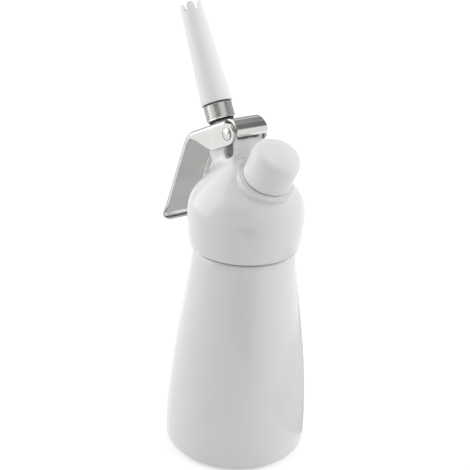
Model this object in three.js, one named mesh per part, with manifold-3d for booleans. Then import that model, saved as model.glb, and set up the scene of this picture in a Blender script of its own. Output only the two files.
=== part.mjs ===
// Whipped cream dispenser, half-pint size, millimetres, +Z up.
// The bottle stands on z = 0 with its axis on the Z axis. The lever hangs on the -X side,
// the charger inlet with its cap leans to the +X side, and the lever pin lies along Y.

import * as THREE from 'three';
import { mergeVertices } from 'three/addons/utils/BufferGeometryUtils.js';
import Module from 'manifold-3d';

const wasm = await Module();
wasm.setup();

// Bottle
const neckRadius = 22.8;
const shoulderLedge = 2.1;
const bottleShoulderRadius = neckRadius + shoulderLedge;
const bottleRadius = 36;
const bottleShoulderHeight = 108;
const bottleWall = 1.4;
const baseCornerRadius = 4.5;
const baseRecessDepth = 1;
const baseRecessRadius = 24;
const footRingWidth = 4.5;
const baseThickness = 2.2;
const flankLowerHandle = 42;
const flankUpperHandle = 38;
const flankUpperSlope = 0.118;
const shoulderEdgeRadius = 1.4;
const neckWall = 2.6;
const neckHeight = 11.4;
const neckEdgeChamfer = 0.6;
const neckInnerRun = 3.4;

// Head casting
const seamGap = 0.5;
const headSkirtWall = 4.2;
const headSkirtFlare = 1.4;
const headSkirtRadius = neckRadius + headSkirtWall;
const headWidestRadius = headSkirtRadius + headSkirtFlare;
const headWidestRise = 18;
const headLowerEdgeRadius = 1.4;
const domeShoulderRise = 9.2;
const domeSlopeReach = 10.2;
const domeConeRadius = 13.8;
const domeConeRise = 41;
const domeCrownRise = 45.5;
const headThreadClearance = 0.35;
const headCeilingWall = 4;
const headCavitySideHeight = 6;
const headCavityCrownShare = 0.33;
const headGasketThickness = 2;
const gasketClearance = 0.1;
const gasketLipWidth = 2.6;

// Pin and tower
const pivotX = -4.9;
const pivotRise = 56.4;
const pinRadius = 2.6;
const pinClearance = 0.15;
const pinHeadRadius = 3.1;
const pinHeadHeight = 1.3;
const towerHalfWidth = 8.7;
const cheekThickness = 2.6;
const cheekTopRadius = 4.7;
const towerBackX = -0.9;
const towerBackRecess = 0.5;
const towerBackRimWidth = 1.2;
const towerBackWall = 1.8;
const towerBackRimDrop = 2;
const towerBackRecessFloor = 11.6;
const towerSlotDrop = 8.8;
const towerSlotRadius = 3.2;
const towerSlotShift = 0.4;
const towerPocketFloor = 14.2;
const towerFrontFlare = 6;
const towerBackFlare = 4.6;
const towerBackFlareDrop = 13.6;
const towerFrontReach = 14;
const towerFrontDrop = 19.4;
const towerFootDepth = 8;
const towerFrontInset = 3.8;

// Valve, along an axis that leans over the lever and crosses the bottle's axis
const valveTilt = THREE.MathUtils.degToRad(30);
const valveCrossRise = 16.6;
const stemRadius = 3.6;
const stemBoreRadius = 2.2;
const stemBoreFloor = 1;
const stemPortRadius = 1.5;
const stemPortPlace = 3;
const stemEndRadius = 2.1;
const stemEndLength = 7.4;
const stemClearance = 0.25;
const collarRadius = 6.8;
const collarThickness = 1.5;
const collarCrown = 0.5;
const leverRestGap = 0.85;
const housingRadius = 6.6;
const housingTopRadius = 8.3;
const housingTopLength = 17;
const housingTopPlace = 36.5;
const housingFootPlace = -1.2;
const chamberRadius = 4.9;
const chamberLength = 6;
const springPocketRadius = 6.7;
const springPocketFloor = 24;
const ringGrooveDepth = 1.45;
const ringGrooveWidth = 2.1;
const lowerRingPlace = 9;
const upperRingPlace = 20.5;
const ringSectionRadius = 0.82;
const bushLength = 2.4;
const bushClearance = 0.12;
const sealRadius = 6.2;
const sealThickness = 2.8;
const sealNutRadius = 4.6;
const sealNutThickness = 2.6;
const sealNutSides = 6;
const seatGap = 0.1;

// Return spring
const springWireRadius = 0.45;
const springMeanRadius = 5.4;
const springCurls = 6;
const springStepsPerCurl = 16;
const springWireSides = 6;
const springEndEase = 0.3;
const springSeatGap = 0.05;
const springLeastGap = 0.4;

// Nut, its black ring, tip washer and decorating tip
const spigotRadius = 4.8;
const spigotLength = 17;
const spigotClearance = 0.15;
const nutRadius = 7.1;
const nutHeight = 7.6;
const nutChamfer = 0.5;
const nutLift = 1.9;
const nutRingThickness = 0.9;
const tipWasherRadius = 7;
const tipWasherThickness = 0.5;
const stackGap = 0.06;
const tipLength = 50.4;
const tipBaseRadius = 7.9;
const tipEndRadius = 5.6;
const tipWall = 1.5;
const tipSocketDepth = 12;
const tipBaseEdgeRadius = 0.8;
const prongCount = 6;
const prongGapShare = 0.3;
const prongLength = 4.4;
const tipPhase = THREE.MathUtils.degToRad(22);

// Lever, pressed from one sheet
const sheet = 1.2;
const leverHalfWidth = 10.1;
const leverFoldRadius = 2;
const webTilt = THREE.MathUtils.degToRad(25.5);
const handleTilt = THREE.MathUtils.degToRad(68);
const webRise = 6.8;
const webLength = 34.9;
const bendRadius = 10;
const handleLength = 55;
const earRadius = 5.1;
const earBlendStart = 12.7;
const earBlendLength = 21;
const flangeDepth = 2.6;
const lipRadius = 3.8;
const lipSweep = THREE.MathUtils.degToRad(90);
const lipCornerRadius = 3.4;
const rollSlit = 0.35;
const rollEndAngle = THREE.MathUtils.degToRad(12);
const stemHoleRadius = 5;
const stemHoleShift = 0.7;

// Charger inlet, along an axis that leans the other way
const inletTilt = THREE.MathUtils.degToRad(27);
const inletX = 14.1;
const inletRise = 38.6;
const bossRadius = 13.7;
const bossDepth = 7;
const bossEdgeRadius = 0.9;
const bossStepRadius = 12.6;
const bossStepDepth = 0.5;
const nippleRadius = 9.3;
const nippleHeight = 12;
const nippleBoreRadius = 4.6;
const nippleBoreDepth = 9;
const nippleChamfer = 0.8;
const nippleShankRadius = 5;
const nippleShankLength = 8;
const nippleShankClearance = 0.12;
const nippleTailRadius = 3;
const nippleTailLength = 4;
const gasPassageRadius = 0.8;
const gasPassageFloor = 1.2;
const inletGasketThickness = 0.8;
const sleeveWall = 1.2;
const sleeveClearance = 0.06;
const piercingPinRadius = 1.3;
const piercingPinReach = 3.2;
const piercingPinRoot = 5;
const piercingPointLength = 2;
const piercingBoreRadius = 0.45;
const pinSealThickness = 2;

// Inlet cap
const capRadius = 11.7;
const capWall = 1.6;
const capLift = 0.4;
const capHeight = 17.8;
const capCrownDepth = 5;
const capCornerShare = 0.78;
const capCrownShare = 0.6;
const capEdgeRadius = 0.6;
const capLinerThickness = 1.4;
const capLinerGap = 0.15;

// Facet counts
const wideSegments = 48;
const midSegments = 36;
const smallSegments = 24;
const ringSides = 6;
const curveSteps = 9;
const flankSteps = 10;
const foldSteps = 3;

// Overrun of cutting bodies past the faces they cut
const overrun = 2;

// Places worked out from the sizes above
const pivotHeight = bottleShoulderHeight + pivotRise;
const valveCrossHeight = bottleShoulderHeight + valveCrossRise;
const inletHeight = bottleShoulderHeight + inletRise;
const mouthHeight = bottleShoulderHeight + neckHeight;
const gasketSeatHeight = mouthHeight + headGasketThickness + 2 * gasketClearance;
const neckBoreRadius = neckRadius - neckWall;

// The lever's flat web meets the valve axis at this distance along it, for a given
// distance of the web's face from the pivot and a given tilt of the web
function webCrossing(faceRise, tilt) {
  const sideways = pivotX * -Math.sin(tilt);
  const upward = (pivotHeight - valveCrossHeight) * Math.cos(tilt);
  return (faceRise + sideways + upward) / Math.cos(tilt - valveTilt);
}

const webInnerPlace = webCrossing(webRise - sheet, webTilt);
const webOuterPlace = webCrossing(webRise, webTilt);
const webMiddlePlace = (webInnerPlace + webOuterPlace) / 2;
const stemHoleX = -webMiddlePlace * Math.sin(valveTilt);
const stemHoleHeight = valveCrossHeight + webMiddlePlace * Math.cos(valveTilt);
const collarTopPlace = webInnerPlace - leverRestGap;
const collarFootPlace = collarTopPlace - collarThickness - collarCrown;
const nutFootPlace = webOuterPlace + nutLift;
const nutTopPlace = nutFootPlace + nutHeight;
const tipFootPlace = nutTopPlace + tipWasherThickness + 2 * stackGap;
const stemTopPlace = nutFootPlace + spigotLength;

// Shapes from points

function arc(centreA, centreB, radius, from, to, steps) {
  const points = [];
  for (let step = 0; step <= steps; step += 1) {
    const angle = from + ((to - from) * step) / steps;
    const a = centreA + radius * Math.cos(angle);
    const b = centreB + radius * Math.sin(angle);
    points.push(new THREE.Vector2(a, b));
  }
  return points;
}

function point(radius, height) {
  return new THREE.Vector2(radius, height);
}

// Revolve a profile of radius and height about Z
function revolved(profile, segments) {
  const spun = profile.map((p) => new THREE.Vector2(Math.max(p.x, 0), p.y));
  const geometry = new THREE.LatheGeometry(spun, segments);
  geometry.rotateX(Math.PI / 2);
  return asSolid(geometry);
}

// Extrude a shape drawn in X and Z evenly to both sides of y = middle
function slab(outline, thickness, middle) {
  const shape = outline instanceof THREE.Shape ? outline : new THREE.Shape(outline);
  const geometry = new THREE.ExtrudeGeometry(shape, {
    depth: thickness,
    bevelEnabled: false,
    curveSegments: curveSteps,
  });
  geometry.translate(0, 0, -thickness / 2);
  geometry.rotateX(Math.PI / 2);
  geometry.translate(0, middle, 0);
  return asSolid(geometry);
}

// Solids from geometry, and back again

function signedVolume(positions, index) {
  const a = new THREE.Vector3();
  const b = new THREE.Vector3();
  const c = new THREE.Vector3();
  let sum = 0;
  for (let i = 0; i < index.length; i += 3) {
    a.fromBufferAttribute(positions, index[i]);
    b.fromBufferAttribute(positions, index[i + 1]);
    c.fromBufferAttribute(positions, index[i + 2]);
    sum += a.dot(b.cross(c));
  }
  return sum / 6;
}

function asSolid(geometry) {
  geometry.deleteAttribute('normal');
  geometry.deleteAttribute('uv');
  const welded = mergeVertices(geometry);
  const source = welded.index.array;
  const kept = [];
  for (let i = 0; i < source.length; i += 3) {
    const [a, b, c] = [source[i], source[i + 1], source[i + 2]];
    if (a !== b && b !== c && c !== a) {
      kept.push(a, b, c);
    }
  }
  const positions = welded.getAttribute('position');
  if (signedVolume(positions, kept) < 0) {
    kept.reverse();
  }
  const mesh = new wasm.Mesh({
    numProp: 3,
    vertProperties: new Float32Array(positions.array),
    triVerts: new Uint32Array(kept),
  });
  return new wasm.Manifold(mesh);
}

function asGeometry(solid) {
  const mesh = solid.getMesh();
  const geometry = new THREE.BufferGeometry();
  const stride = mesh.numProp;
  const positions = new Float32Array((mesh.vertProperties.length / stride) * 3);
  for (let i = 0; i < positions.length / 3; i += 1) {
    positions[3 * i] = mesh.vertProperties[stride * i];
    positions[3 * i + 1] = mesh.vertProperties[stride * i + 1];
    positions[3 * i + 2] = mesh.vertProperties[stride * i + 2];
  }
  geometry.setAttribute('position', new THREE.BufferAttribute(positions, 3));
  geometry.setIndex(new THREE.BufferAttribute(new Uint32Array(mesh.triVerts), 1));
  geometry.computeVertexNormals();
  return geometry;
}

function moved(solid, matrix) {
  return asSolid(asGeometry(solid).applyMatrix4(matrix));
}

// Lean a solid that was made on the Z axis over onto the valve's or the inlet's axis
function leaning(solid, tilt, x, height) {
  const matrix = new THREE.Matrix4().makeRotationY(tilt);
  matrix.setPosition(x, 0, height);
  return moved(solid, matrix);
}

function onValve(solid) {
  return leaning(solid, -valveTilt, 0, valveCrossHeight);
}

function onInlet(solid) {
  return leaning(solid, inletTilt, inletX, inletHeight);
}

function post(radius, from, to, segments) {
  return revolved([point(0, from), point(radius, from), point(radius, to), point(0, to)], segments);
}

function ringOf(inner, outer, from, to, segments) {
  const profile = [
    point(inner, from),
    point(outer, from),
    point(outer, to),
    point(inner, to),
    point(inner, from),
  ];
  return revolved(profile, segments);
}

// A ring of round section, such as an O-ring
function roundRing(meanRadius, sectionRadius, height, segments) {
  const geometry = new THREE.TorusGeometry(meanRadius, sectionRadius, ringSides, segments);
  geometry.translate(0, 0, height);
  return asSolid(geometry);
}

// Bottle: one drawn aluminium shell with a dished base and a threaded neck

function flankCurve(inset) {
  const foot = point(bottleRadius - inset, baseCornerRadius);
  const footHandle = point(bottleRadius - inset, baseCornerRadius + flankLowerHandle);
  const topRadius = bottleShoulderRadius - inset;
  const topHandleRadius = topRadius + flankUpperSlope * flankUpperHandle;
  const topHandle = point(topHandleRadius, bottleShoulderHeight - flankUpperHandle);
  const top = point(topRadius, bottleShoulderHeight);
  return new THREE.CubicBezierCurve(foot, footHandle, topHandle, top);
}

function makeBottle() {
  const footOuter = bottleRadius - baseCornerRadius;
  const footInner = footOuter - footRingWidth;
  const corner = arc(footOuter, baseCornerRadius, baseCornerRadius, -Math.PI / 2, 0, foldSteps * 2);
  const edgeInset = bottleShoulderRadius - shoulderEdgeRadius;
  const edgeBase = bottleShoulderHeight - shoulderEdgeRadius;
  const edge = arc(edgeInset, edgeBase, shoulderEdgeRadius, 0, Math.PI / 2, foldSteps);
  const outside = flankCurve(0).getPoints(flankSteps);
  const flank = outside.filter((p) => p.y < edgeBase - shoulderEdgeRadius);
  const innerFloor = baseRecessDepth + baseThickness;
  const innerCornerRadius = baseCornerRadius;
  const innerFoot = bottleRadius - bottleWall - innerCornerRadius;
  const innerCorner = arc(
    innerFoot,
    innerFloor + innerCornerRadius,
    innerCornerRadius,
    0,
    -Math.PI / 2,
    foldSteps,
  );
  const neckFoot = bottleShoulderHeight - bottleWall;
  const innerFlank = flankCurve(bottleWall).getPoints(flankSteps).reverse();
  const innerWall = innerFlank.filter(
    (p) => p.y < neckFoot - neckInnerRun && p.y > innerFloor + 2 * innerCornerRadius,
  );
  const profile = [
    point(0, baseRecessDepth),
    point(baseRecessRadius, baseRecessDepth),
    point(footInner, 0),
    ...corner,
    ...flank.slice(1),
    ...edge,
    point(neckRadius, bottleShoulderHeight),
    point(neckRadius, mouthHeight - neckEdgeChamfer),
    point(neckRadius - neckEdgeChamfer, mouthHeight),
    point(neckBoreRadius, mouthHeight),
    point(neckBoreRadius, neckFoot),
    ...innerWall,
    ...innerCorner,
    point(0, innerFloor),
  ];
  return revolved(profile, wideSegments);
}

// Head casting: dome with its inner thread bore, tower for the pin, valve housing and inlet boss

function domeOutside() {
  const skirtBase = bottleShoulderHeight + seamGap;
  const widestHeight = bottleShoulderHeight + headWidestRise;
  const edge = arc(
    headSkirtRadius - headLowerEdgeRadius,
    skirtBase + headLowerEdgeRadius,
    headLowerEdgeRadius,
    -Math.PI / 2,
    0,
    foldSteps,
  );
  const skirt = new THREE.QuadraticBezierCurve(
    point(headSkirtRadius, skirtBase + headLowerEdgeRadius),
    point(headWidestRadius, (skirtBase + widestHeight) / 2),
    point(headWidestRadius, widestHeight),
  );
  const coneHeight = bottleShoulderHeight + domeConeRise;
  const shoulder = new THREE.CubicBezierCurve(
    point(headWidestRadius, widestHeight),
    point(headWidestRadius, widestHeight + domeShoulderRise),
    point(domeConeRadius + domeSlopeReach, coneHeight - domeSlopeReach),
    point(domeConeRadius, coneHeight),
  );
  const crownHeight = bottleShoulderHeight + domeCrownRise;
  const crown = new THREE.QuadraticBezierCurve(
    point(domeConeRadius, coneHeight),
    point(domeConeRadius - (crownHeight - coneHeight), crownHeight),
    point(0, crownHeight),
  );
  return [
    ...edge,
    ...skirt.getPoints(foldSteps * 2).slice(1),
    ...shoulder.getPoints(curveSteps).slice(1),
    ...crown.getPoints(foldSteps).slice(1),
  ];
}

// The hollow inside the head: thread bore, gasket seat and the domed room above it
function headCavity() {
  const boreRadius = neckRadius + headThreadClearance;
  const cavityRadius = boreRadius - gasketLipWidth;
  const cavityTop = bottleShoulderHeight + domeCrownRise - headCeilingWall;
  const ceilingStart = gasketSeatHeight + headCavitySideHeight;
  const ceiling = new THREE.CubicBezierCurve(
    point(0, cavityTop),
    point(cavityRadius * headCavityCrownShare, cavityTop),
    point(cavityRadius, ceilingStart + headCavitySideHeight),
    point(cavityRadius, ceilingStart),
  );
  const profile = [
    point(0, bottleShoulderHeight),
    point(boreRadius, bottleShoulderHeight),
    point(boreRadius, gasketSeatHeight),
    point(cavityRadius, gasketSeatHeight),
    ...ceiling.getPoints(foldSteps * 2).reverse(),
  ];
  return revolved(profile, wideSegments);
}

// Side outline of the tower: front edge parallel to the valve, rounded top about the pin,
// upright back edge, and a flare at each foot where it runs into the dome
function towerOutline() {
  const footHeight = pivotHeight - towerFrontDrop;
  const backFootHeight = pivotHeight - towerBackFlareDrop;
  const frontX = pivotX - towerFrontReach;
  const topPlace = housingTopPlace;
  const topHeight = valveCrossHeight + topPlace * Math.cos(valveTilt);
  const topX = -topPlace * Math.sin(valveTilt);
  const cornerHeight = topHeight - housingTopRadius * Math.sin(valveTilt);
  const cornerX = topX - housingTopRadius * Math.cos(valveTilt);
  const shape = new THREE.Shape();
  const flareHeight = footHeight - towerFrontFlare;
  shape.moveTo(frontX, flareHeight - towerFootDepth);
  shape.lineTo(frontX - towerFrontFlare, flareHeight);
  shape.quadraticCurveTo(frontX, footHeight - towerFrontFlare / 2, frontX, footHeight);
  shape.lineTo(cornerX + towerFrontInset, cornerHeight);
  shape.lineTo(topX, topHeight);
  shape.lineTo(pivotX - cheekTopRadius, pivotHeight);
  shape.absarc(pivotX, pivotHeight, cheekTopRadius, Math.PI, 0, true);
  shape.lineTo(towerBackX, pivotHeight - towerBackRimDrop);
  shape.lineTo(towerBackX, backFootHeight + towerBackFlare);
  shape.quadraticCurveTo(towerBackX, backFootHeight, towerBackX + towerBackFlare, backFootHeight);
  shape.lineTo(towerBackX + towerBackFlare, flareHeight - towerFootDepth);
  shape.closePath();
  return shape;
}

function block(xFrom, xTo, halfWidth, zFrom, zTo) {
  const outline = [
    point(xFrom, zFrom),
    point(xTo, zFrom),
    point(xTo, zTo),
    point(xFrom, zTo),
  ];
  return slab(outline, 2 * halfWidth, 0);
}

function towerSlot() {
  const reach = pinRadius + pinClearance;
  const bottom = pivotHeight - towerSlotDrop;
  const hole = arc(pivotX, pivotHeight, reach, 0, 2 * Math.PI, foldSteps * 4).slice(1);
  const outline = [
    ...arc(pivotX, pivotHeight, reach, 0, Math.PI, foldSteps * 2),
    ...arc(pivotX - towerSlotShift, bottom, towerSlotRadius, Math.PI, 2 * Math.PI, foldSteps * 2),
  ];
  const between = block(
    pivotX - towerFrontReach,
    towerBackX,
    towerHalfWidth - cheekThickness,
    bottom - towerSlotRadius - overrun,
    pivotHeight + reach + overrun,
  );
  const cut = 2 * (towerHalfWidth + overrun);
  return slab(outline, cut, 0).subtract(between).add(slab(hole, cut, 0));
}

function makeHead() {
  const skirtBase = point(0, bottleShoulderHeight + seamGap);
  const dome = revolved([skirtBase, ...domeOutside()], wideSegments);
  const pocketHalf = towerHalfWidth - cheekThickness;
  const pocketBack = towerBackX - towerBackRecess - towerBackWall;
  const pocketTop = pivotHeight + cheekTopRadius + overrun;
  const pocketFloor = pivotHeight - towerPocketFloor;
  const pocket = block(pivotX - towerFrontReach, pocketBack, pocketHalf, pocketFloor, pocketTop);
  const rimHeight = pivotHeight - towerBackRimDrop;
  const aboveRim = block(pocketBack - overrun, towerBackX + overrun, pocketHalf, rimHeight, pocketTop);
  const recessFloor = pivotHeight - towerBackRecessFloor;
  const recess = block(
    towerBackX - towerBackRecess,
    towerBackX + overrun,
    towerHalfWidth - towerBackRimWidth,
    recessFloor,
    pocketTop,
  );
  const tower = slab(towerOutline(), 2 * towerHalfWidth, 0).subtract(pocket).subtract(aboveRim);

  const housing = onValve(
    post(housingRadius, housingFootPlace, housingTopPlace, midSegments).add(
      post(housingTopRadius, housingTopPlace - housingTopLength, housingTopPlace, midSegments),
    ),
  );
  const bossInset = bossRadius - bossEdgeRadius;
  const boss = onInlet(
    revolved(
      [
        point(0, -bossDepth - nippleShankClearance),
        point(nippleShankRadius + sheet, -bossDepth - nippleShankClearance),
        point(bossRadius, -bossDepth / 2),
        ...arc(bossInset, -bossStepDepth - bossEdgeRadius, bossEdgeRadius, 0, Math.PI / 2, foldSteps),
        point(bossStepRadius, -bossStepDepth),
        point(bossStepRadius, 0),
        point(0, 0),
      ],
      midSegments,
    ),
  );

  const bore = stemRadius + stemClearance;
  const grooveRadius = bore + ringGrooveDepth;
  const halfGroove = ringGrooveWidth / 2;
  const valveCuts = onValve(
    post(bore, housingFootPlace - overrun, housingTopPlace + overrun, smallSegments)
      .add(post(chamberRadius, housingFootPlace - overrun, chamberLength, smallSegments))
      .add(post(springPocketRadius, springPocketFloor, housingTopPlace + overrun, midSegments))
      .add(post(grooveRadius, lowerRingPlace - halfGroove, lowerRingPlace + halfGroove, smallSegments))
      .add(post(grooveRadius, upperRingPlace - halfGroove, upperRingPlace + halfGroove, smallSegments)),
  );
  const shankHole = onInlet(
    post(nippleShankRadius + nippleShankClearance, -bossDepth - overrun, overrun, smallSegments),
  );
  const aboveBoss = onInlet(post(bossRadius, -bossStepDepth, capHeight, midSegments));
  return dome
    .add(tower)
    .subtract(recess)
    .subtract(aboveBoss)
    .subtract(headCavity())
    .add(boss)
    .add(housing)
    .subtract(towerSlot())
    .subtract(valveCuts)
    .subtract(shankHole);
}

function makeHeadGasket() {
  const outer = neckRadius - gasketClearance;
  const inner = neckBoreRadius + gasketClearance;
  const from = mouthHeight + gasketClearance;
  return ringOf(inner, outer, from, from + headGasketThickness, midSegments);
}

// Lever: a pressed channel whose side walls are ears at the pin and a low flange on the handle.
// Its outer face is followed from above the pin, over the bend, down to the lip.

function leverPath() {
  const along = new THREE.Vector2(-Math.cos(webTilt), -Math.sin(webTilt));
  const inward = new THREE.Vector2(Math.sin(webTilt), -Math.cos(webTilt));
  const start = new THREE.Vector2(pivotX, pivotHeight).addScaledVector(inward, -webRise);
  const bendSweep = handleTilt - webTilt;
  const setback = bendRadius * Math.tan(bendSweep / 2);
  const stations = [];
  const put = (place, sweep, distance) => {
    const turned = inward.clone().rotateAround(new THREE.Vector2(), sweep);
    stations.push({ place: place.clone(), inward: turned, distance });
  };
  const webRun = webLength - setback;
  for (let step = 0; step <= curveSteps; step += 1) {
    const distance = (webRun * step) / curveSteps;
    put(start.clone().addScaledVector(along, distance), 0, distance);
  }
  const bendFoot = start.clone().addScaledVector(along, webRun);
  const bendCentre = bendFoot.clone().addScaledVector(inward, bendRadius);
  for (let step = 1; step <= foldSteps * 2; step += 1) {
    const sweep = (bendSweep * step) / (foldSteps * 2);
    const spoke = inward.clone().rotateAround(new THREE.Vector2(), sweep);
    const place = bendCentre.clone().addScaledVector(spoke, -bendRadius);
    put(place, sweep, webRun + bendRadius * sweep);
  }
  const bendEnd = stations[stations.length - 1].place.clone();
  const down = along.clone().rotateAround(new THREE.Vector2(), bendSweep);
  const handleRun = handleLength - setback - lipRadius;
  const handleStart = webRun + bendRadius * bendSweep;
  for (let step = 1; step <= foldSteps; step += 1) {
    const distance = (handleRun * step) / foldSteps;
    put(bendEnd.clone().addScaledVector(down, distance), bendSweep, handleStart + distance);
  }
  const lipFoot = stations[stations.length - 1].place.clone();
  const handleInward = inward.clone().rotateAround(new THREE.Vector2(), bendSweep);
  const lipCentre = lipFoot.clone().addScaledVector(handleInward, lipRadius);
  for (let step = 1; step <= foldSteps * 2; step += 1) {
    const sweep = (lipSweep * step) / (foldSteps * 2);
    const spoke = handleInward.clone().rotateAround(new THREE.Vector2(), sweep);
    const place = lipCentre.clone().addScaledVector(spoke, -lipRadius);
    put(place, bendSweep + sweep, handleStart + handleRun + lipRadius * sweep);
  }
  return stations;
}

function earDepth(distance) {
  const full = webRise + earRadius;
  const progress = THREE.MathUtils.clamp((distance - earBlendStart) / earBlendLength, 0, 1);
  const blend = (1 + Math.cos(Math.PI * progress)) / 2;
  return flangeDepth + (full - flangeDepth) * blend;
}

// Cross-section of the channel as points of side and depth, once round
function channelSection(halfWidth, depth) {
  const outerFold = leverFoldRadius;
  const innerFold = leverFoldRadius - sheet;
  const side = halfWidth - outerFold;
  const near = arc(-side, outerFold, outerFold, Math.PI, 1.5 * Math.PI, foldSteps);
  const far = arc(side, outerFold, outerFold, -Math.PI / 2, 0, foldSteps);
  const farInside = arc(side, outerFold, innerFold, 0, -Math.PI / 2, foldSteps);
  const nearInside = arc(-side, outerFold, innerFold, 1.5 * Math.PI, Math.PI, foldSteps);
  return [
    point(-halfWidth, depth),
    ...near,
    ...far,
    point(halfWidth, depth),
    point(halfWidth - sheet, depth),
    ...farInside,
    ...nearInside,
    point(-halfWidth + sheet, depth),
  ];
}

function leverChannel() {
  const stations = leverPath();
  const total = stations[stations.length - 1].distance;
  const sections = stations.map((station) => {
    const left = Math.max(0, lipCornerRadius - (total - station.distance));
    const rest = Math.sqrt(Math.max(0, lipCornerRadius ** 2 - left ** 2));
    const narrowing = lipCornerRadius - rest;
    return channelSection(leverHalfWidth - narrowing, earDepth(station.distance));
  });
  const positions = [];
  sections.forEach((section, row) => {
    const { place, inward } = stations[row];
    section.forEach((p) => {
      positions.push(place.x + inward.x * p.y, p.x, place.y + inward.y * p.y);
    });
  });
  const size = sections[0].length;
  const index = [];
  for (let row = 0; row + 1 < sections.length; row += 1) {
    for (let i = 0; i < size; i += 1) {
      const next = (i + 1) % size;
      const a = row * size + i;
      const b = row * size + next;
      const c = a + size;
      const d = b + size;
      index.push(a, b, d, a, d, c);
    }
  }
  const last = (sections.length - 1) * size;
  THREE.ShapeUtils.triangulateShape(sections[0], []).forEach(([a, b, c]) => index.push(c, b, a));
  THREE.ShapeUtils.triangulateShape(sections[sections.length - 1], []).forEach(([a, b, c]) => {
    index.push(last + a, last + b, last + c);
  });
  const geometry = new THREE.BufferGeometry();
  geometry.setAttribute('position', new THREE.Float32BufferAttribute(positions, 3));
  geometry.setIndex(index);
  return asSolid(geometry);
}

// The ear's rounded end behind the pin, up to the web's fold
function earEnd(middle) {
  const bottom = webTilt - Math.PI / 2;
  const top = webTilt + Math.PI / 2;
  const outline = arc(pivotX, pivotHeight, earRadius, bottom, top, curveSteps);
  const upFold = webRise - leverFoldRadius + sheet / 2;
  const fold = new THREE.Vector2(-Math.sin(webTilt), Math.cos(webTilt)).multiplyScalar(upFold);
  const forward = new THREE.Vector2(-Math.cos(webTilt), -Math.sin(webTilt)).multiplyScalar(sheet);
  outline.push(point(pivotX + fold.x, pivotHeight + fold.y));
  outline.push(point(pivotX + fold.x + forward.x, pivotHeight + fold.y + forward.y));
  const foot = new THREE.Vector2(Math.sin(webTilt), -Math.cos(webTilt)).multiplyScalar(earRadius);
  outline.push(point(pivotX + foot.x + forward.x, pivotHeight + foot.y + forward.y));
  return slab(outline, sheet, middle);
}

function leverRoll() {
  const halfWidth = leverHalfWidth - sheet - rollSlit;
  const from = Math.PI / 2 + webTilt;
  const ring = [
    ...arc(pivotX, pivotHeight, webRise, rollEndAngle, from, curveSteps),
    ...arc(pivotX, pivotHeight, webRise - sheet, from, rollEndAngle, curveSteps),
  ];
  const roll = slab(ring, 2 * halfWidth, 0);
  const along = new THREE.Vector2(-Math.cos(webTilt), -Math.sin(webTilt));
  const up = new THREE.Vector2(-Math.sin(webTilt), Math.cos(webTilt));
  const pivot = new THREE.Vector2(pivotX, pivotHeight);
  const corner = (run, rise) => pivot.clone().addScaledVector(along, run).addScaledVector(up, rise);
  const tongue = [
    corner(-seatGap, webRise),
    corner(-seatGap, webRise - sheet),
    corner(sheet, webRise - sheet),
    corner(sheet, webRise),
  ];
  return roll.add(slab(tongue, 2 * halfWidth, 0));
}

function makeLever() {
  const earMiddle = leverHalfWidth - sheet / 2;
  const hole = leaning(
    post(stemHoleRadius, -sheet - overrun, sheet + overrun, smallSegments),
    -webTilt,
    stemHoleX + stemHoleShift * Math.cos(webTilt),
    stemHoleHeight + stemHoleShift * Math.sin(webTilt),
  );
  const pinHoles = slab(
    arc(pivotX, pivotHeight, pinRadius + seatGap, 0, 2 * Math.PI, smallSegments).slice(1),
    2 * (leverHalfWidth + overrun),
    0,
  );
  return leverChannel()
    .add(earEnd(earMiddle))
    .add(earEnd(-earMiddle))
    .add(leverRoll())
    .subtract(hole)
    .subtract(pinHoles);
}

// Pin: a shank with a domed head riveted over at each end
function makePin() {
  const shankEnd = leverHalfWidth + seatGap;
  const flattening = pinHeadHeight / pinHeadRadius;
  const headEdge = arc(0, 0, pinHeadRadius, Math.PI / 2, 0, foldSteps).map((p) =>
    point(p.x, shankEnd + p.y * flattening),
  );
  const top = headEdge.slice().reverse();
  const bottom = headEdge.map((p) => point(p.x, -p.y));
  const profile = [
    ...bottom,
    point(pinRadius, -shankEnd),
    point(pinRadius, shankEnd),
    ...top,
  ];
  const shank = revolved(profile, smallSegments);
  const matrix = new THREE.Matrix4().makeRotationX(Math.PI / 2);
  matrix.setPosition(pivotX, 0, pivotHeight);
  return moved(shank, matrix);
}

// Valve stem: closed at the foot, with cross ports, a crowned collar and an open threaded spigot
function makeStem() {
  const foot = housingFootPlace - seatGap;
  const spigotFoot = nutFootPlace - nutRingThickness - stackGap;
  const profile = [
    point(0, foot - stemEndLength),
    point(stemEndRadius, foot - stemEndLength),
    point(stemEndRadius, foot),
    point(stemRadius, foot),
    point(stemRadius, collarFootPlace),
    point(collarRadius, collarFootPlace),
    point(collarRadius, collarFootPlace + collarThickness),
    point(stemRadius + stemClearance, collarTopPlace),
    point(stemRadius, collarTopPlace),
    point(stemRadius, spigotFoot),
    point(spigotRadius, spigotFoot),
    point(spigotRadius, stemTopPlace - nutChamfer),
    point(spigotRadius - nutChamfer, stemTopPlace),
    point(stemBoreRadius, stemTopPlace),
    point(stemBoreRadius, stemBoreFloor),
    point(0, stemBoreFloor),
  ];
  const body = revolved(profile, smallSegments);
  const port = asSolid(
    new THREE.CylinderGeometry(stemPortRadius, stemPortRadius, 2 * stemRadius + overrun, curveSteps),
  );
  const across = new THREE.Matrix4().makeTranslation(0, 0, stemPortPlace);
  return onValve(body.subtract(moved(port, across)));
}

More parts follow.
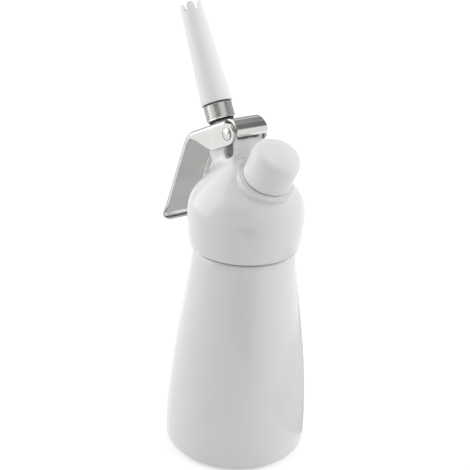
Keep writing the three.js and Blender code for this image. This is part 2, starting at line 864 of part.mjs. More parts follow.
function makeSpring() {
  const foot = springPocketFloor + bushLength + springWireRadius + springSeatGap;
  const top = collarFootPlace - springWireRadius - springSeatGap;
  const steps = springCurls * springStepsPerCurl;
  const centres = [];
  for (let step = 0; step <= steps; step += 1) {
    const progress = step / steps;
    const eased = progress - (springEndEase * Math.sin(2 * Math.PI * progress)) / (2 * Math.PI);
    const angle = 2 * Math.PI * springCurls * progress;
    const x = springMeanRadius * Math.cos(angle);
    const y = springMeanRadius * Math.sin(angle);
    centres.push(new THREE.Vector3(x, y, foot + (top - foot) * eased));
  }
  let least = Infinity;
  for (let i = 0; i < centres.length; i += 1) {
    for (let j = i + springStepsPerCurl / 2; j < centres.length; j += 1) {
      least = Math.min(least, centres[i].distanceTo(centres[j]) - 2 * springWireRadius);
    }
  }
  console.log(`return_spring least gap to itself ${least.toFixed(2)} mm`);
  if (least < springLeastGap) {
    console.log('return_spring curls are too close');
  }
  const route = new THREE.CatmullRomCurve3(centres);
  const wire = new THREE.Shape(
    arc(0, 0, springWireRadius, 0, 2 * Math.PI, springWireSides).slice(1),
  );
  const coil = new THREE.ExtrudeGeometry(wire, { steps, extrudePath: route, bevelEnabled: false });
  return onValve(asSolid(coil));
}

function makeStemBush() {
  const inner = stemRadius + bushClearance;
  const outer = springPocketRadius - bushClearance;
  const from = springPocketFloor + seatGap;
  return onValve(ringOf(inner, outer, from, springPocketFloor + bushLength, smallSegments));
}

function makeStemRing(place) {
  const inner = stemRadius + seatGap / 2;
  return onValve(roundRing(inner + ringSectionRadius, ringSectionRadius, place, smallSegments));
}

function makeValveSeal() {
  const top = housingFootPlace - seatGap;
  const inner = stemEndRadius + seatGap;
  return onValve(ringOf(inner, sealRadius, top - sealThickness, top - seatGap, smallSegments));
}

function makeSealNut() {
  const top = housingFootPlace - 2 * seatGap - sealThickness;
  const hexagon = post(sealNutRadius, top - sealNutThickness, top, sealNutSides);
  const bore = post(stemEndRadius + seatGap, top - sealNutThickness - overrun, top + overrun, smallSegments);
  return onValve(hexagon.subtract(bore));
}

function makeKnurledNut() {
  const inner = spigotRadius + spigotClearance;
  const profile = [
    point(inner, nutFootPlace),
    point(nutRadius - nutChamfer, nutFootPlace),
    point(nutRadius, nutFootPlace + nutChamfer),
    point(nutRadius, nutTopPlace - nutChamfer),
    point(nutRadius - nutChamfer, nutTopPlace),
    point(inner, nutTopPlace),
    point(inner, nutFootPlace),
  ];
  return onValve(revolved(profile, midSegments));
}

function makeNutRing() {
  const section = nutRingThickness / 2 - stackGap;
  const mean = spigotRadius + spigotClearance + section;
  const place = nutFootPlace - stackGap - section;
  return onValve(roundRing(mean, section, place, smallSegments));
}

function makeTipWasher() {
  const from = nutTopPlace + stackGap;
  const inner = spigotRadius + spigotClearance;
  return onValve(ringOf(inner, tipWasherRadius, from, from + tipWasherThickness, smallSegments));
}

// Decorating tip: a tapered plastic tube that ends in rounded tongues
function makeTip() {
  const socketTop = tipFootPlace + tipSocketDepth;
  const socketRadius = spigotRadius + spigotClearance;
  const end = tipFootPlace + tipLength;
  const profile = [
    point(socketRadius, tipFootPlace),
    ...arc(
      tipBaseRadius - tipBaseEdgeRadius,
      tipFootPlace + tipBaseEdgeRadius,
      tipBaseEdgeRadius,
      -Math.PI / 2,
      0,
      foldSteps,
    ),
    point(tipEndRadius, end),
    point(tipEndRadius - tipWall, end),
    point(socketRadius, socketTop),
    point(socketRadius, tipFootPlace),
  ];
  const tube = revolved(profile, midSegments);
  const pitch = (2 * Math.PI) / prongCount;
  const halfGap = (tipEndRadius * pitch * prongGapShare) / 2;
  const halfPitch = (tipEndRadius * pitch) / 2;
  const floor = end - prongLength + halfGap;
  const crown = halfPitch - halfGap;
  const gap = [
    ...arc(0, floor, halfGap, Math.PI, 2 * Math.PI, foldSteps * 2),
    ...arc(halfPitch, end - crown, crown, Math.PI, Math.PI / 2, foldSteps),
    point(halfPitch, end + overrun),
    point(-halfPitch, end + overrun),
    ...arc(-halfPitch, end - crown, crown, Math.PI / 2, 0, foldSteps),
  ];
  let tip = tube;
  for (let count = 0; count < prongCount; count += 1) {
    const cutter = slab(gap, tipEndRadius, tipEndRadius);
    const turn = new THREE.Matrix4().makeRotationZ(tipPhase + pitch * count);
    tip = tip.subtract(moved(cutter, turn));
  }
  return onValve(tip);
}

// Charger inlet: a threaded nipple screwed into the boss, with the piercing pin and seals

const nippleFoot = inletGasketThickness + 2 * seatGap;
const nippleTop = nippleFoot + nippleHeight;
const nippleFloor = nippleTop - nippleBoreDepth;
const shankFoot = -nippleShankLength;
const tailFoot = shankFoot - nippleTailLength;

function makeNipple() {
  const profile = [
    point(0, tailFoot),
    point(nippleTailRadius, tailFoot),
    point(nippleTailRadius, shankFoot),
    point(nippleShankRadius, shankFoot),
    point(nippleShankRadius, nippleFoot),
    point(nippleRadius, nippleFoot),
    point(nippleRadius, nippleTop - nippleChamfer),
    point(nippleRadius - nippleChamfer, nippleTop),
    point(nippleBoreRadius + nippleChamfer, nippleTop),
    point(nippleBoreRadius, nippleTop - nippleChamfer),
    point(nippleBoreRadius, nippleFloor),
    point(0, nippleFloor),
  ];
  const pinHole = post(piercingPinRadius + seatGap, nippleFloor - piercingPinRoot, nippleTop, curveSteps);
  const passage = post(gasPassageRadius, tailFoot + gasPassageFloor, nippleTop, curveSteps);
  const port = asSolid(
    new THREE.CylinderGeometry(
      gasPassageRadius,
      gasPassageRadius,
      2 * nippleTailRadius + overrun,
      curveSteps,
    ),
  );
  const across = new THREE.Matrix4().makeTranslation(0, 0, (tailFoot + shankFoot) / 2);
  const body = revolved(profile, smallSegments);
  return onInlet(body.subtract(pinHole).subtract(passage).subtract(moved(port, across)));
}

function makeInletGasket() {
  const inner = nippleShankRadius + nippleShankClearance;
  return onInlet(
    ringOf(inner, nippleRadius, seatGap, seatGap + inletGasketThickness, smallSegments),
  );
}

function makePiercingPin() {
  const root = nippleFloor - piercingPinRoot + seatGap;
  const shoulder = nippleFloor + piercingPinReach;
  const profile = [
    point(piercingBoreRadius, root),
    point(piercingPinRadius, root),
    point(piercingPinRadius, shoulder),
    point(piercingBoreRadius, shoulder + piercingPointLength),
    point(piercingBoreRadius, root),
  ];
  return onInlet(revolved(profile, curveSteps));
}

function makePinSeal() {
  const inner = piercingPinRadius + seatGap;
  const outer = nippleBoreRadius - seatGap;
  const from = nippleFloor + seatGap;
  return onInlet(ringOf(inner, outer, from, from + pinSealThickness, smallSegments));
}

function makeCheckSleeve() {
  const inner = nippleTailRadius + sleeveClearance;
  const from = tailFoot + seatGap;
  return onInlet(ringOf(inner, inner + sleeveWall, from, shankFoot - seatGap, smallSegments));
}

// Inlet cap: a short moulded cup with a rounded crown that covers the nipple's thread
function makeCap() {
  const foot = capLift;
  const top = foot + capHeight;
  const crownBase = top - capCrownDepth;
  const hollowRadius = capRadius - capWall;
  const hollowTop = nippleTop + 2 * capLinerGap + capLinerThickness;
  const crown = new THREE.CubicBezierCurve(
    point(capRadius, crownBase),
    point(capRadius, crownBase + capCrownDepth * capCornerShare),
    point(capRadius * capCrownShare, top),
    point(0, top),
  );
  const profile = [
    point(hollowRadius, foot),
    ...arc(capRadius - capEdgeRadius, foot + capEdgeRadius, capEdgeRadius, -Math.PI / 2, 0, foldSteps),
    ...crown.getPoints(curveSteps),
  ];
  const outer = revolved([point(0, foot), ...profile], midSegments);
  const hollow = post(hollowRadius, foot - overrun, hollowTop, midSegments);
  return onInlet(outer.subtract(hollow));
}

function makeCapLiner() {
  const from = nippleTop + capLinerGap;
  const outer = capRadius - capWall - capLinerGap;
  return onInlet(post(outer, from, from + capLinerThickness, smallSegments));
}

// Materials: colour, roughness and metalness of each finish

function finish(colour, roughness, metalness) {
  return () => new THREE.MeshStandardMaterial({ color: colour, roughness, metalness });
}

const whiteCoat = finish(0xeeeef0, 0.22, 0);
const whitePlastic = finish(0xefefeb, 0.38, 0);
const polishedSteel = finish(0xd6d4d0, 0.14, 1);
const satinSteel = finish(0xb9b8b5, 0.34, 1);
const turnedAluminium = finish(0xc4c4c2, 0.36, 1);
const brass = finish(0xc9a85a, 0.32, 1);
const blackRubber = finish(0x1d1d1f, 0.7, 0);
const whiteSilicone = finish(0xdedbd4, 0.6, 0);

const pieces = [
  ['bottle', makeBottle(), whiteCoat],
  ['head', makeHead(), whiteCoat],
  ['head_gasket', makeHeadGasket(), whiteSilicone],
  ['lever', makeLever(), polishedSteel],
  ['lever_pin', makePin(), polishedSteel],
  ['valve_stem', makeStem(), satinSteel],
  ['return_spring', makeSpring(), satinSteel],
  ['stem_bush', makeStemBush(), brass],
  ['lower_stem_ring', makeStemRing(lowerRingPlace), blackRubber],
  ['upper_stem_ring', makeStemRing(upperRingPlace), blackRubber],
  ['valve_seal', makeValveSeal(), blackRubber],
  ['seal_nut', makeSealNut(), satinSteel],
  ['nut_ring', makeNutRing(), blackRubber],
  ['knurled_nut', makeKnurledNut(), turnedAluminium],
  ['tip_washer', makeTipWasher(), blackRubber],
  ['decorating_tip', makeTip(), whitePlastic],
  ['inlet_gasket', makeInletGasket(), blackRubber],
  ['inlet_nipple', makeNipple(), satinSteel],
  ['piercing_pin', makePiercingPin(), satinSteel],
  ['pin_seal', makePinSeal(), blackRubber],
  ['check_sleeve', makeCheckSleeve(), blackRubber],
  ['inlet_cap', makeCap(), whitePlastic],
  ['cap_liner', makeCapLiner(), whiteSilicone],
];

const dispenser = new THREE.Group();
dispenser.name = 'whipped_cream_dispenser';
pieces.forEach(([name, solid, makeMaterial]) => {
  const mesh = new THREE.Mesh(asGeometry(solid), makeMaterial());
  mesh.name = name;
  dispenser.add(mesh);
});

export default dispenser;
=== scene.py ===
import math

import bpy
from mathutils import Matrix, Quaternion, Vector


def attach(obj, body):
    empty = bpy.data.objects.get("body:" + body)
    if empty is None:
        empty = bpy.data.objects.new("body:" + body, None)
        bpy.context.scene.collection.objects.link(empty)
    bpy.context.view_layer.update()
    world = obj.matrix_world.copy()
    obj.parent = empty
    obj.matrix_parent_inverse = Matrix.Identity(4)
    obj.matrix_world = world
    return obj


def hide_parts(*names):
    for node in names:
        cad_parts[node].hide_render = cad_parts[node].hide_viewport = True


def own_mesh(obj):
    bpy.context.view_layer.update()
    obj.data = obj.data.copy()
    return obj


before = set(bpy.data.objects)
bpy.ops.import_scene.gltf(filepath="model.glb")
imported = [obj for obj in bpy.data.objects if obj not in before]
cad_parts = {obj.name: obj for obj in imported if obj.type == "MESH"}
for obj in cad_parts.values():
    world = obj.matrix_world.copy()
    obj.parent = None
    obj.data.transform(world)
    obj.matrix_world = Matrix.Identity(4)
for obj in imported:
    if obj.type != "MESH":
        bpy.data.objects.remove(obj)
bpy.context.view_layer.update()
mm = 0.001

# Photograph's view
# The camera stands to the right of the lever's side, a little above the head, and leans
# slightly, so that the dispenser tips to the right in the picture.
camera_place = Vector((342.3, -267.5, 294.1)) * mm
camera_aim = Vector((-2.95, -3.78, 112.99)) * mm
camera_lean = math.radians(2.892)
camera_lens = 74.06
sensor_width = 36


def added(name, operator, **options):
    """Adds an object with an operator, alone selected, and names it"""
    bpy.ops.object.select_all(action="DESELECT")
    operator(**options)
    made = bpy.context.active_object
    made.name = name
    return made


camera = added("photograph_camera", bpy.ops.object.camera_add, location=camera_place)
camera.data.sensor_width = sensor_width
camera.data.lens = camera_lens
camera.data.clip_start = 0.01
camera.rotation_mode = "QUATERNION"
looking = (camera_aim - camera_place).to_track_quat("-Z", "Y")
camera.rotation_quaternion = looking @ Quaternion((0, 0, 1), camera_lean)
bpy.context.scene.camera = camera
bpy.context.scene.view_settings.view_transform = "Standard"

# Studio
# A white table and a white room. The table keeps the dispenser's soft shadow, and large soft
# lamps stand to the left and right, so that the rounded sides turn greyer towards the middle.
def given(node, values):
    """Gives the inputs of a shader node their values"""
    for name, value in values.items():
        node.inputs[name].default_value = value


def add_node(tree, kind, values=None, **settings):
    """Adds a shader node with its settings and the values of its inputs"""
    node = tree.nodes.new(f"ShaderNode{kind}")
    for name, value in settings.items():
        setattr(node, name, value)
    given(node, values or {})
    return node


def wired(tree, *wires):
    """Links nodes: each wire names a node, its output, the next node and its input"""
    for node, output, target, socket in wires:
        tree.links.new(node.outputs[output], target.inputs[socket])


def finished_with(name, values):
    """Starts a material and returns it with its node tree and its shader"""
    material = bpy.data.materials.new(name)
    material.use_nodes = True
    shader = material.node_tree.nodes["Principled BSDF"]
    given(shader, values)
    return material, material.node_tree, shader


def white_when_seen(tree):
    """Gives 1 where the camera, a reflection or a clear body looks straight at the room"""
    path = add_node(tree, "LightPath")
    first = add_node(tree, "Math", operation="MAXIMUM")
    both = add_node(tree, "Math", operation="MAXIMUM")
    wired(
        tree,
        (path, "Is Camera Ray", first, 0),
        (path, "Is Glossy Ray", first, 1),
        (first, 0, both, 0),
        (path, "Is Transmission Ray", both, 1),
    )
    return both.outputs[0]


room_light = 0.43
room_seen = 1.0
table_size = 3.2
table_glow_seen = 0.42
lamp_aim = Vector((0, 0, 0.1))
room = bpy.data.worlds.new("white_room")
bpy.context.scene.world = room
room.use_nodes = True
room_tree = room.node_tree
room_shader = room_tree.nodes["Background"]
room_shader.inputs["Color"].default_value = (1, 1, 1, 1)
room_level = add_node(room_tree, "MapRange", {"To Min": room_light, "To Max": room_seen})
room_tree.links.new(white_when_seen(room_tree), room_level.inputs["Value"])
room_tree.links.new(room_level.outputs["Result"], room_shader.inputs["Strength"])

table = added("table", bpy.ops.mesh.primitive_plane_add, size=table_size)
table_values = {"Base Color": (0.8, 0.8, 0.8, 1), "Roughness": 0.9}
table_values |= {"Specular IOR Level": 0.1, "Emission Color": (1, 1, 1, 1)}
table_finish, table_tree, table_shader = finished_with("white_table", table_values)
table_glow = add_node(table_tree, "Math", {1: table_glow_seen}, operation="MULTIPLY")
table_tree.links.new(white_when_seen(table_tree), table_glow.inputs[0])
table_tree.links.new(table_glow.outputs[0], table_shader.inputs["Emission Strength"])
table.data.materials.append(table_finish)

# Name, place, width and height in metres, and power in watts. Reflections leave out the right lamp.
lamps = [
    ("left_lamp", (-1.86, -1.65, 1.26), (3.1, 3.1), 43),
    ("right_lamp", (1.65, 1.86, 1.5), (2.6, 2.8), 42),
    ("top_lamp", (-0.3, 0.3, 2.85), (1.8, 1.8), 9),
]
for lamp_name, lamp_place, lamp_size, lamp_power in lamps:
    lamp = added(lamp_name, bpy.ops.object.light_add, type="AREA", location=lamp_place)
    lamp.data.shape = "RECTANGLE"
    lamp.data.size, lamp.data.size_y = lamp_size
    lamp.data.energy = lamp_power
    lamp.visible_glossy = lamp_name != "right_lamp"
    lamp.rotation_mode = "QUATERNION"
    lamp.rotation_quaternion = (lamp_aim - lamp.location).to_track_quat("-Z", "Y")

# Name, place, facing, width and height in metres and grey of the cards round the dispenser.
# Only reflections show them, as the darker parts of the room that polished steel mirrors; the
# floor card is a painted shadow, the table's shade behind the bottle that the handle mirrors.
cards = [
    ("ceiling_card", (-0.225, 0.7, 1.017), (0.249, 0, -0.968), (0.82, 0.85), 0.5),
    ("slanted_card", (0.425, 0.7, 0.99), (-0.459, 0, -0.888), (0.57, 0.85), 0.26),
    ("camera_card", (0.38, -0.26, 0.002), (0, 0, 1), (0.26, 0.34), 0.2),
    ("upper_card", (0.5, -0.8, 0.75), (-0.5, 0.8, -0.58), (0.9, 0.6), 0.45),
    ("floor_shadow_card", (-0.01, 0.11, 0.002), (0, 0, 1), (0.26, 0.16), 0.66),
]
for card_name, card_place, card_facing, (card_width, card_height), card_grey in cards:
    card = added(card_name, bpy.ops.mesh.primitive_plane_add, size=1, location=card_place)
    card.scale = (card_width, card_height, 1)
    card.rotation_mode = "QUATERNION"
    card.rotation_quaternion = Vector(card_facing).to_track_quat("Z", "Y")
    card.visible_camera = False
    card.visible_diffuse = False
    card.visible_shadow = False
    card_values = {"Base Color": (card_grey, card_grey, card_grey, 1), "Roughness": 0.95}
    card.data.materials.append(finished_with(card_name, card_values)[0])

# Bottle
# A bottle drawn from aluminium sheet and stove enamelled in glossy white. Its base is dished
# inside a foot ring, and a rolled thread on its neck holds the head.
def rounded(centre_radius, centre_height, radius, start, end, steps):
    """Points of an arc in a turned profile, in millimetres and degrees"""
    points = []
    for step in range(steps + 1):
        angle = math.radians(start + (end - start) * step / steps)
        place = (centre_radius + radius * math.cos(angle), centre_height + radius * math.sin(angle))
        points.append(place)
    return points


def swept(first, first_handle, last_handle, last, steps):
    """Points of a smooth curve between two ends with two handles"""
    points = []
    for step in range(steps + 1):
        t = step / steps
        shares = ((1 - t) ** 3, 3 * t * (1 - t) ** 2, 3 * t * t * (1 - t), t**3)
        ends = (first, first_handle, last_handle, last)
        points.append(tuple(sum(s * e[axis] for s, e in zip(shares, ends)) for axis in (0, 1)))
    return points


def chosen(piece):
    """Selects one piece and nothing else"""
    bpy.ops.object.select_all(action="DESELECT")
    piece.select_set(True)
    bpy.context.view_layer.objects.active = piece


def opened(kind, action):
    """Enters edit mode by points or edges, with all or none of them selected"""
    bpy.ops.object.mode_set(mode="EDIT")
    bpy.ops.mesh.select_mode(type=kind)
    bpy.ops.mesh.select_all(action=action)


def faced_outward():
    """Points all faces of the open mesh outward and leaves edit mode"""
    bpy.ops.mesh.select_all(action="SELECT")
    bpy.ops.mesh.normals_make_consistent(inside=False)
    bpy.ops.object.mode_set(mode="OBJECT")


def smoothed(piece, below):
    """Shades a piece smooth, but for edges sharper than an angle in degrees"""
    chosen(piece)
    bpy.ops.object.shade_smooth_by_angle(angle=math.radians(below))
    return piece


merge_distance = 0.002 * mm


def turned(name, profile, segments=128, smooth_below=40):
    """Builds a turned piece ring by ring from radius and height pairs in millimetres"""
    capped = profile[0][0] == 0
    stations = [(radius * mm, height * mm) for radius, height in profile[1 if capped else 0:]]
    radius, height = stations[0]
    ring = {"vertices": segments, "radius": radius, "fill_type": "NGON" if capped else "NOTHING"}
    piece = added(name, bpy.ops.mesh.primitive_circle_add, **ring)
    opened("EDGE", "SELECT")
    bpy.ops.transform.translate(value=(0, 0, height))
    if capped:
        bpy.ops.mesh.select_all(action="DESELECT")
        bpy.ops.mesh.select_non_manifold()
    for next_radius, next_height in stations[1:]:
        rise = (0, 0, next_height - height)
        bpy.ops.mesh.extrude_edges_move(TRANSFORM_OT_translate={"value": rise})
        if next_radius == 0:
            bpy.ops.mesh.merge(type="CENTER")
        else:
            share = next_radius / radius
            centre = (0, 0, next_height)
            bpy.ops.transform.resize(value=(share, share, 1), center_override=centre)
        radius, height = next_radius, next_height
    bpy.ops.mesh.select_all(action="SELECT")
    bpy.ops.mesh.remove_doubles(threshold=merge_distance)
    faced_outward()
    return smoothed(piece, smooth_below)


def dressed(piece, material, body, node=None):
    """Gives a piece its material, the body it rides on and the node it stands for"""
    piece.data.materials.append(material)
    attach(piece, body)
    if node:
        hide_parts(node)


def new_group(name, inputs, outputs):
    """Starts a node group from its inputs' values and its outputs, with a node for the place"""
    group = bpy.data.node_groups.new(name, "ShaderNodeTree")
    number = "NodeSocketFloat"
    for socket, value in inputs.items():
        made = group.interface.new_socket(socket, in_out="INPUT", socket_type=number)
        made.default_value = value
    for socket in outputs:
        group.interface.new_socket(socket, in_out="OUTPUT", socket_type=number)
    ends = group.nodes.new("NodeGroupInput"), group.nodes.new("NodeGroupOutput")
    return group, *ends, add_node(group, "TexCoord")


# Cloudy variation and fine ripple of a surface, for enamel, moulded plastic, rubber and metal
surface_group, surface_in, surface_out, surface_place = new_group(
    "surface_variation",
    {"Cloud Scale": 40.0, "Ripple Scale": 900.0, "Grain Scale": 4000.0, "Grain Share": 0.3},
    ["Cloud", "Height", "Grain"],
)
surface_mix = add_node(surface_group, "Mix", data_type="FLOAT")
for part, detail, rough, target, socket in (
    ("Cloud", 3.0, 0.55, surface_out, "Cloud"),
    ("Ripple", 1.0, 0.4, surface_mix, "A"),
    ("Grain", 2.0, 0.6, surface_mix, "B"),
):
    surface_noise = add_node(surface_group, "TexNoise", {"Detail": detail, "Roughness": rough})
    wired(
        surface_group,
        (surface_place, "Object", surface_noise, "Vector"),
        (surface_in, f"{part} Scale", surface_noise, "Scale"),
        (surface_noise, "Fac", target, socket),
    )
# The last noise, the grain, is also given as it is
wired(
    surface_group,
    (surface_noise, "Fac", surface_out, "Grain"),
    (surface_in, "Grain Share", surface_mix, "Factor"),
    (surface_mix, "Result", surface_out, "Height"),
)

# Tiny dark specks, sparse and round, such as dust and pinholes
speck_group, speck_in, speck_out, speck_place = new_group(
    "sparse_specks", {"Scale": 300.0, "Size": 0.05}, ["Mask"]
)
speck_cells = add_node(speck_group, "TexVoronoi", feature="F1")
speck_rare = add_node(speck_group, "TexNoise", {"Scale": 160.0, "Detail": 0.0})
speck_where = add_node(speck_group, "Math", {1: 0.66}, operation="GREATER_THAN")
speck_near = add_node(speck_group, "Math", operation="LESS_THAN")
speck_both = add_node(speck_group, "Math", operation="MULTIPLY")
wired(
    speck_group,
    (speck_place, "Object", speck_cells, "Vector"),
    (speck_in, "Scale", speck_cells, "Scale"),
    (speck_place, "Object", speck_rare, "Vector"),
    (speck_rare, "Fac", speck_where, 0),
    (speck_cells, "Distance", speck_near, 0),
    (speck_in, "Size", speck_near, 1),
    (speck_where, 0, speck_both, 0),
    (speck_near, 0, speck_both, 1),
    (speck_both, 0, speck_out, "Mask"),
)


def spread_between(tree, source, low, high):
    """Maps a value from the middle of its range to a range of its own"""
    ends = {"From Min": 0.3, "From Max": 0.7, "To Min": low, "To Max": high}
    spread = add_node(tree, "MapRange", ends)
    tree.links.new(source, spread.inputs["Value"])
    return spread.outputs["Result"]


def clouded(name, values, grain, dark, light):
    """Starts a material, with its surface's variation and a colour clouded from dark to light"""
    material, tree, shader = finished_with(name, values)
    variation = add_node(tree, "Group", grain, node_tree=surface_group)
    mix = add_node(tree, "Mix", {"A": (*dark, 1), "B": (*light, 1)}, data_type="RGBA")
    cloud = spread_between(tree, variation.outputs["Cloud"], 0.0, 1.0)
    tree.links.new(cloud, mix.inputs["Factor"])
    wired(tree, (mix, "Result", shader, "Base Color"))
    return material, tree, shader, variation


def surfaced(tree, shader, uneven, gloss, height, depth, strength):
    """Gives a shader its range of roughness, and a relief as deep as given in metres"""
    tree.links.new(spread_between(tree, uneven, *gloss), shader.inputs["Roughness"])
    bump = add_node(tree, "Bump", {"Strength": strength, "Distance": depth})
    tree.links.new(height, bump.inputs["Height"])
    wired(tree, (bump, "Normal", shader, "Normal"))


def moulded(name, values, grain, colours, gloss, relief, gloss_from="Cloud"):
    """A clouded colour, an uneven gloss and a fine ripple"""
    material, tree, shader, variation = clouded(name, values, grain, *colours)
    ripple = variation.outputs["Height"]
    surfaced(tree, shader, variation.outputs[gloss_from], gloss, ripple, *relief)
    return material


def masked(material, mask, values, socket):
    """Mixes a second colour in by a mask: the first goes into the given socket of the mix"""
    tree = material.node_tree
    base = tree.nodes["Principled BSDF"].inputs["Base Color"]
    mix = add_node(tree, "Mix", values, data_type="RGBA")
    tree.links.new(base.links[0].from_socket, mix.inputs[socket])
    tree.links.new(mask, mix.inputs["Factor"])
    tree.links.new(mix.outputs["Result"], base)
    return material


def flecked(material, fleck, specks):
    """Sprinkles a material with rare dark specks"""
    spots = add_node(material.node_tree, "Group", specks, node_tree=speck_group)
    return masked(material, spots.outputs["Mask"], {"B": (*fleck, 1)}, "A")


enamel = moulded(
    "white_enamel",
    {"IOR": 1.5, "Coat Weight": 0.4, "Coat Roughness": 0.08},
    {"Cloud Scale": 26.0, "Ripple Scale": 420.0, "Grain Scale": 2600.0, "Grain Share": 0.25},
    colours=[(0.775, 0.775, 0.795), (0.8, 0.8, 0.815)],
    gloss=(0.17, 0.25),
    relief=(0.00003, 0.6),
)
flecked(enamel, (0.5, 0.49, 0.48), {"Scale": 420.0, "Size": 0.05})

bottle_radius = 36
corner_radius = 4.5
bottle_wall = 1.4
shoulder_radius = 24.9
shoulder_height = 108
flank_lower_handle = 42
flank_upper_handle = 38
flank_upper_flare = 4.48
seam_height = 107.45
seam_radius = 1.2
recess_radius = 22.6
recess_depth = 1
foot_inner = 27.6
foot_inner_edge = 0.9
neck_core = 21.95
neck_crest = 22.8
neck_bore = 20.2
mouth_height = 119.4
floor_height = 3.2
floor_corner_radius = 4.5
foot_outer = bottle_radius - corner_radius
floor_outer = bottle_radius - bottle_wall - floor_corner_radius
seam_edge_inner = shoulder_radius - seam_radius


def bottle_flank(inset):
    """The bottle's side from the base's corner to the shoulder, moved in by an inset"""
    top_radius = shoulder_radius - inset
    return swept(
        (bottle_radius - inset, corner_radius),
        (bottle_radius - inset, corner_radius + flank_lower_handle),
        (top_radius + flank_upper_flare, shoulder_height - flank_upper_handle),
        (top_radius, shoulder_height),
        48,
    )


outer_flank = [p for p in bottle_flank(0)[1:] if p[1] < seam_height - 1.6]
inner_flank = [p for p in bottle_flank(bottle_wall) if 12.4 < p[1] < shoulder_height - 5]
bottle = turned(
    "bottle_shell",
    [(0, recess_depth), (recess_radius, recess_depth)]
    + rounded(recess_radius, 0, recess_depth, 90, 40, 4)[1:]
    + rounded(foot_inner, foot_inner_edge, foot_inner_edge, 215, 270, 4)
    + rounded(foot_outer, corner_radius, corner_radius, -90, 0, 14)
    + outer_flank
    + rounded(seam_edge_inner, seam_height - seam_radius, seam_radius, 0, 90, 7)
    + [(neck_core + 0.4, seam_height), (neck_core, seam_height + 0.4)]
    + [(neck_core, mouth_height - 0.8)]
    + rounded(neck_core - 0.5, mouth_height - 0.5, 0.5, 0, 90, 4)
    + rounded(neck_bore + 0.4, mouth_height - 0.4, 0.4, 90, 180, 3)
    + [(neck_bore, shoulder_height - bottle_wall)]
    + inner_flank[::-1]
    + rounded(floor_outer, floor_height + floor_corner_radius, floor_corner_radius, 0, -90, 8)
    + [(0, floor_height)],
    segments=160, smooth_below=24,
)
dressed(bottle, enamel, "bottle", "bottle")

# Rolled thread of the bottle's neck
# The neck's thread is rolled into the wall with a rounded crest, two and a half turns long.
def settled(piece):
    """Moves a piece's place, turn and scale into its mesh"""
    chosen(piece)
    bpy.ops.object.transform_apply(location=True, rotation=True, scale=True)
    return piece


def with_modifier(piece, name, kind, **settings):
    """Adds a modifier with its settings and applies it"""
    chosen(piece)
    modifier = piece.modifiers.new(name, kind)
    for setting, value in settings.items():
        setattr(modifier, setting, value)
    bpy.ops.object.modifier_apply(modifier=modifier.name)
    return piece


def wound(name, middle, foot, half_width, half_height, rise, turns, sides, smooth_below):
    """Winds an oval section round Z, in millimetres, and closes both its ends"""
    piece = added(name, bpy.ops.mesh.primitive_circle_add, vertices=sides, radius=1)
    piece.location = (middle * mm, 0, foot * mm)
    piece.rotation_euler.x = math.pi / 2
    piece.scale = (half_width * mm, half_height * mm, 1)
    angle, steps = 2 * math.pi * turns, int(48 * turns)
    winding = {"angle": angle, "screw_offset": rise * mm, "steps": steps, "render_steps": steps}
    with_modifier(settled(piece), "winding", "SCREW", **winding)
    opened("EDGE", "DESELECT")
    bpy.ops.mesh.select_non_manifold()
    bpy.ops.mesh.fill_holes(sides=sides)
    faced_outward()
    return smoothed(piece, smooth_below)


def thread(name, radii, pitch, turns, foot, pitch_share=0.3):
    """Winds a rounded ridge round Z, in millimetres, from the core to the crest"""
    core_radius, crest_radius = radii
    sink = 0.25 if crest_radius > core_radius else -0.25
    middle = (core_radius - sink + crest_radius) / 2
    half_width = abs(crest_radius - core_radius + sink) / 2
    return wound(name, middle, foot, half_width, pitch * pitch_share, pitch * turns, turns, 8, 40)


neck_winding = {"pitch": 2.8, "turns": 2.5, "pitch_share": 0.22}
neck_radii = (neck_core, neck_crest)
neck_thread_foot = 110.4
neck_thread = thread("neck_thread", neck_radii, foot=neck_thread_foot, **neck_winding)
dressed(neck_thread, enamel, "bottle")

# Head gasket
# A flat silicone ring, moulded milky white, that lies on the bottle's mouth inside the head.
def ringed(name, inner, outer, foot, top, edge=0.2, segments=96):
    """Turns a ring with rounded edges, in millimetres"""
    corners = (
        rounded(outer - edge, foot + edge, edge, -90, 0, 3)
        + rounded(outer - edge, top - edge, edge, 0, 90, 3)
        + rounded(inner + edge, top - edge, edge, 90, 180, 3)
        + rounded(inner + edge, foot + edge, edge, 180, 270, 3)
    )
    return turned(name, corners + corners[:1], segments=segments, smooth_below=50)


silicone = moulded(
    "moulded_silicone",
    {"Subsurface Weight": 0.2, "Subsurface Radius": (0.001, 0.001, 0.0008)},
    {"Cloud Scale": 90.0, "Ripple Scale": 700.0, "Grain Scale": 5200.0, "Grain Share": 0.7},
    colours=[(0.66, 0.65, 0.61), (0.74, 0.73, 0.69)],
    gloss=(0.5, 0.7),
    relief=(0.00004, 0.8),
    gloss_from="Grain",
)
gasket_gap = 0.1
gasket_thickness = 2
gasket_foot = mouth_height + gasket_gap
gasket = ringed(
    "head_gasket_ring",
    neck_bore + gasket_gap,
    neck_crest - gasket_gap,
    gasket_foot,
    gasket_foot + gasket_thickness,
    edge=0.3,
)
dressed(gasket, silicone, "head_seat", "head_gasket")

# Head
# The screw-on head is cast in aluminium and enamelled like the bottle: a dome with a tower for
# the lever's pin, a leaning bore for the valve and a round boss for the charger inlet.
pivot = (-4.9, 164.4)
valve_tilt = -30
valve_root = (0, 0, 124.6)
inlet_tilt = 27
inlet_root = (14.1, 0, 146.6)
dome_flank_height = 125
tower_half = 8.7
cheek_half = 6.1
recess_half = 7.5
slot_half = 10.7
tower_back, tower_front = -18.9, -0.9
above_tower = 172
pin_bore_radius = 2.75
slot_bend_radius = 3.2
slot_bend_height = 155.6
shank_hole_radius = 5.12


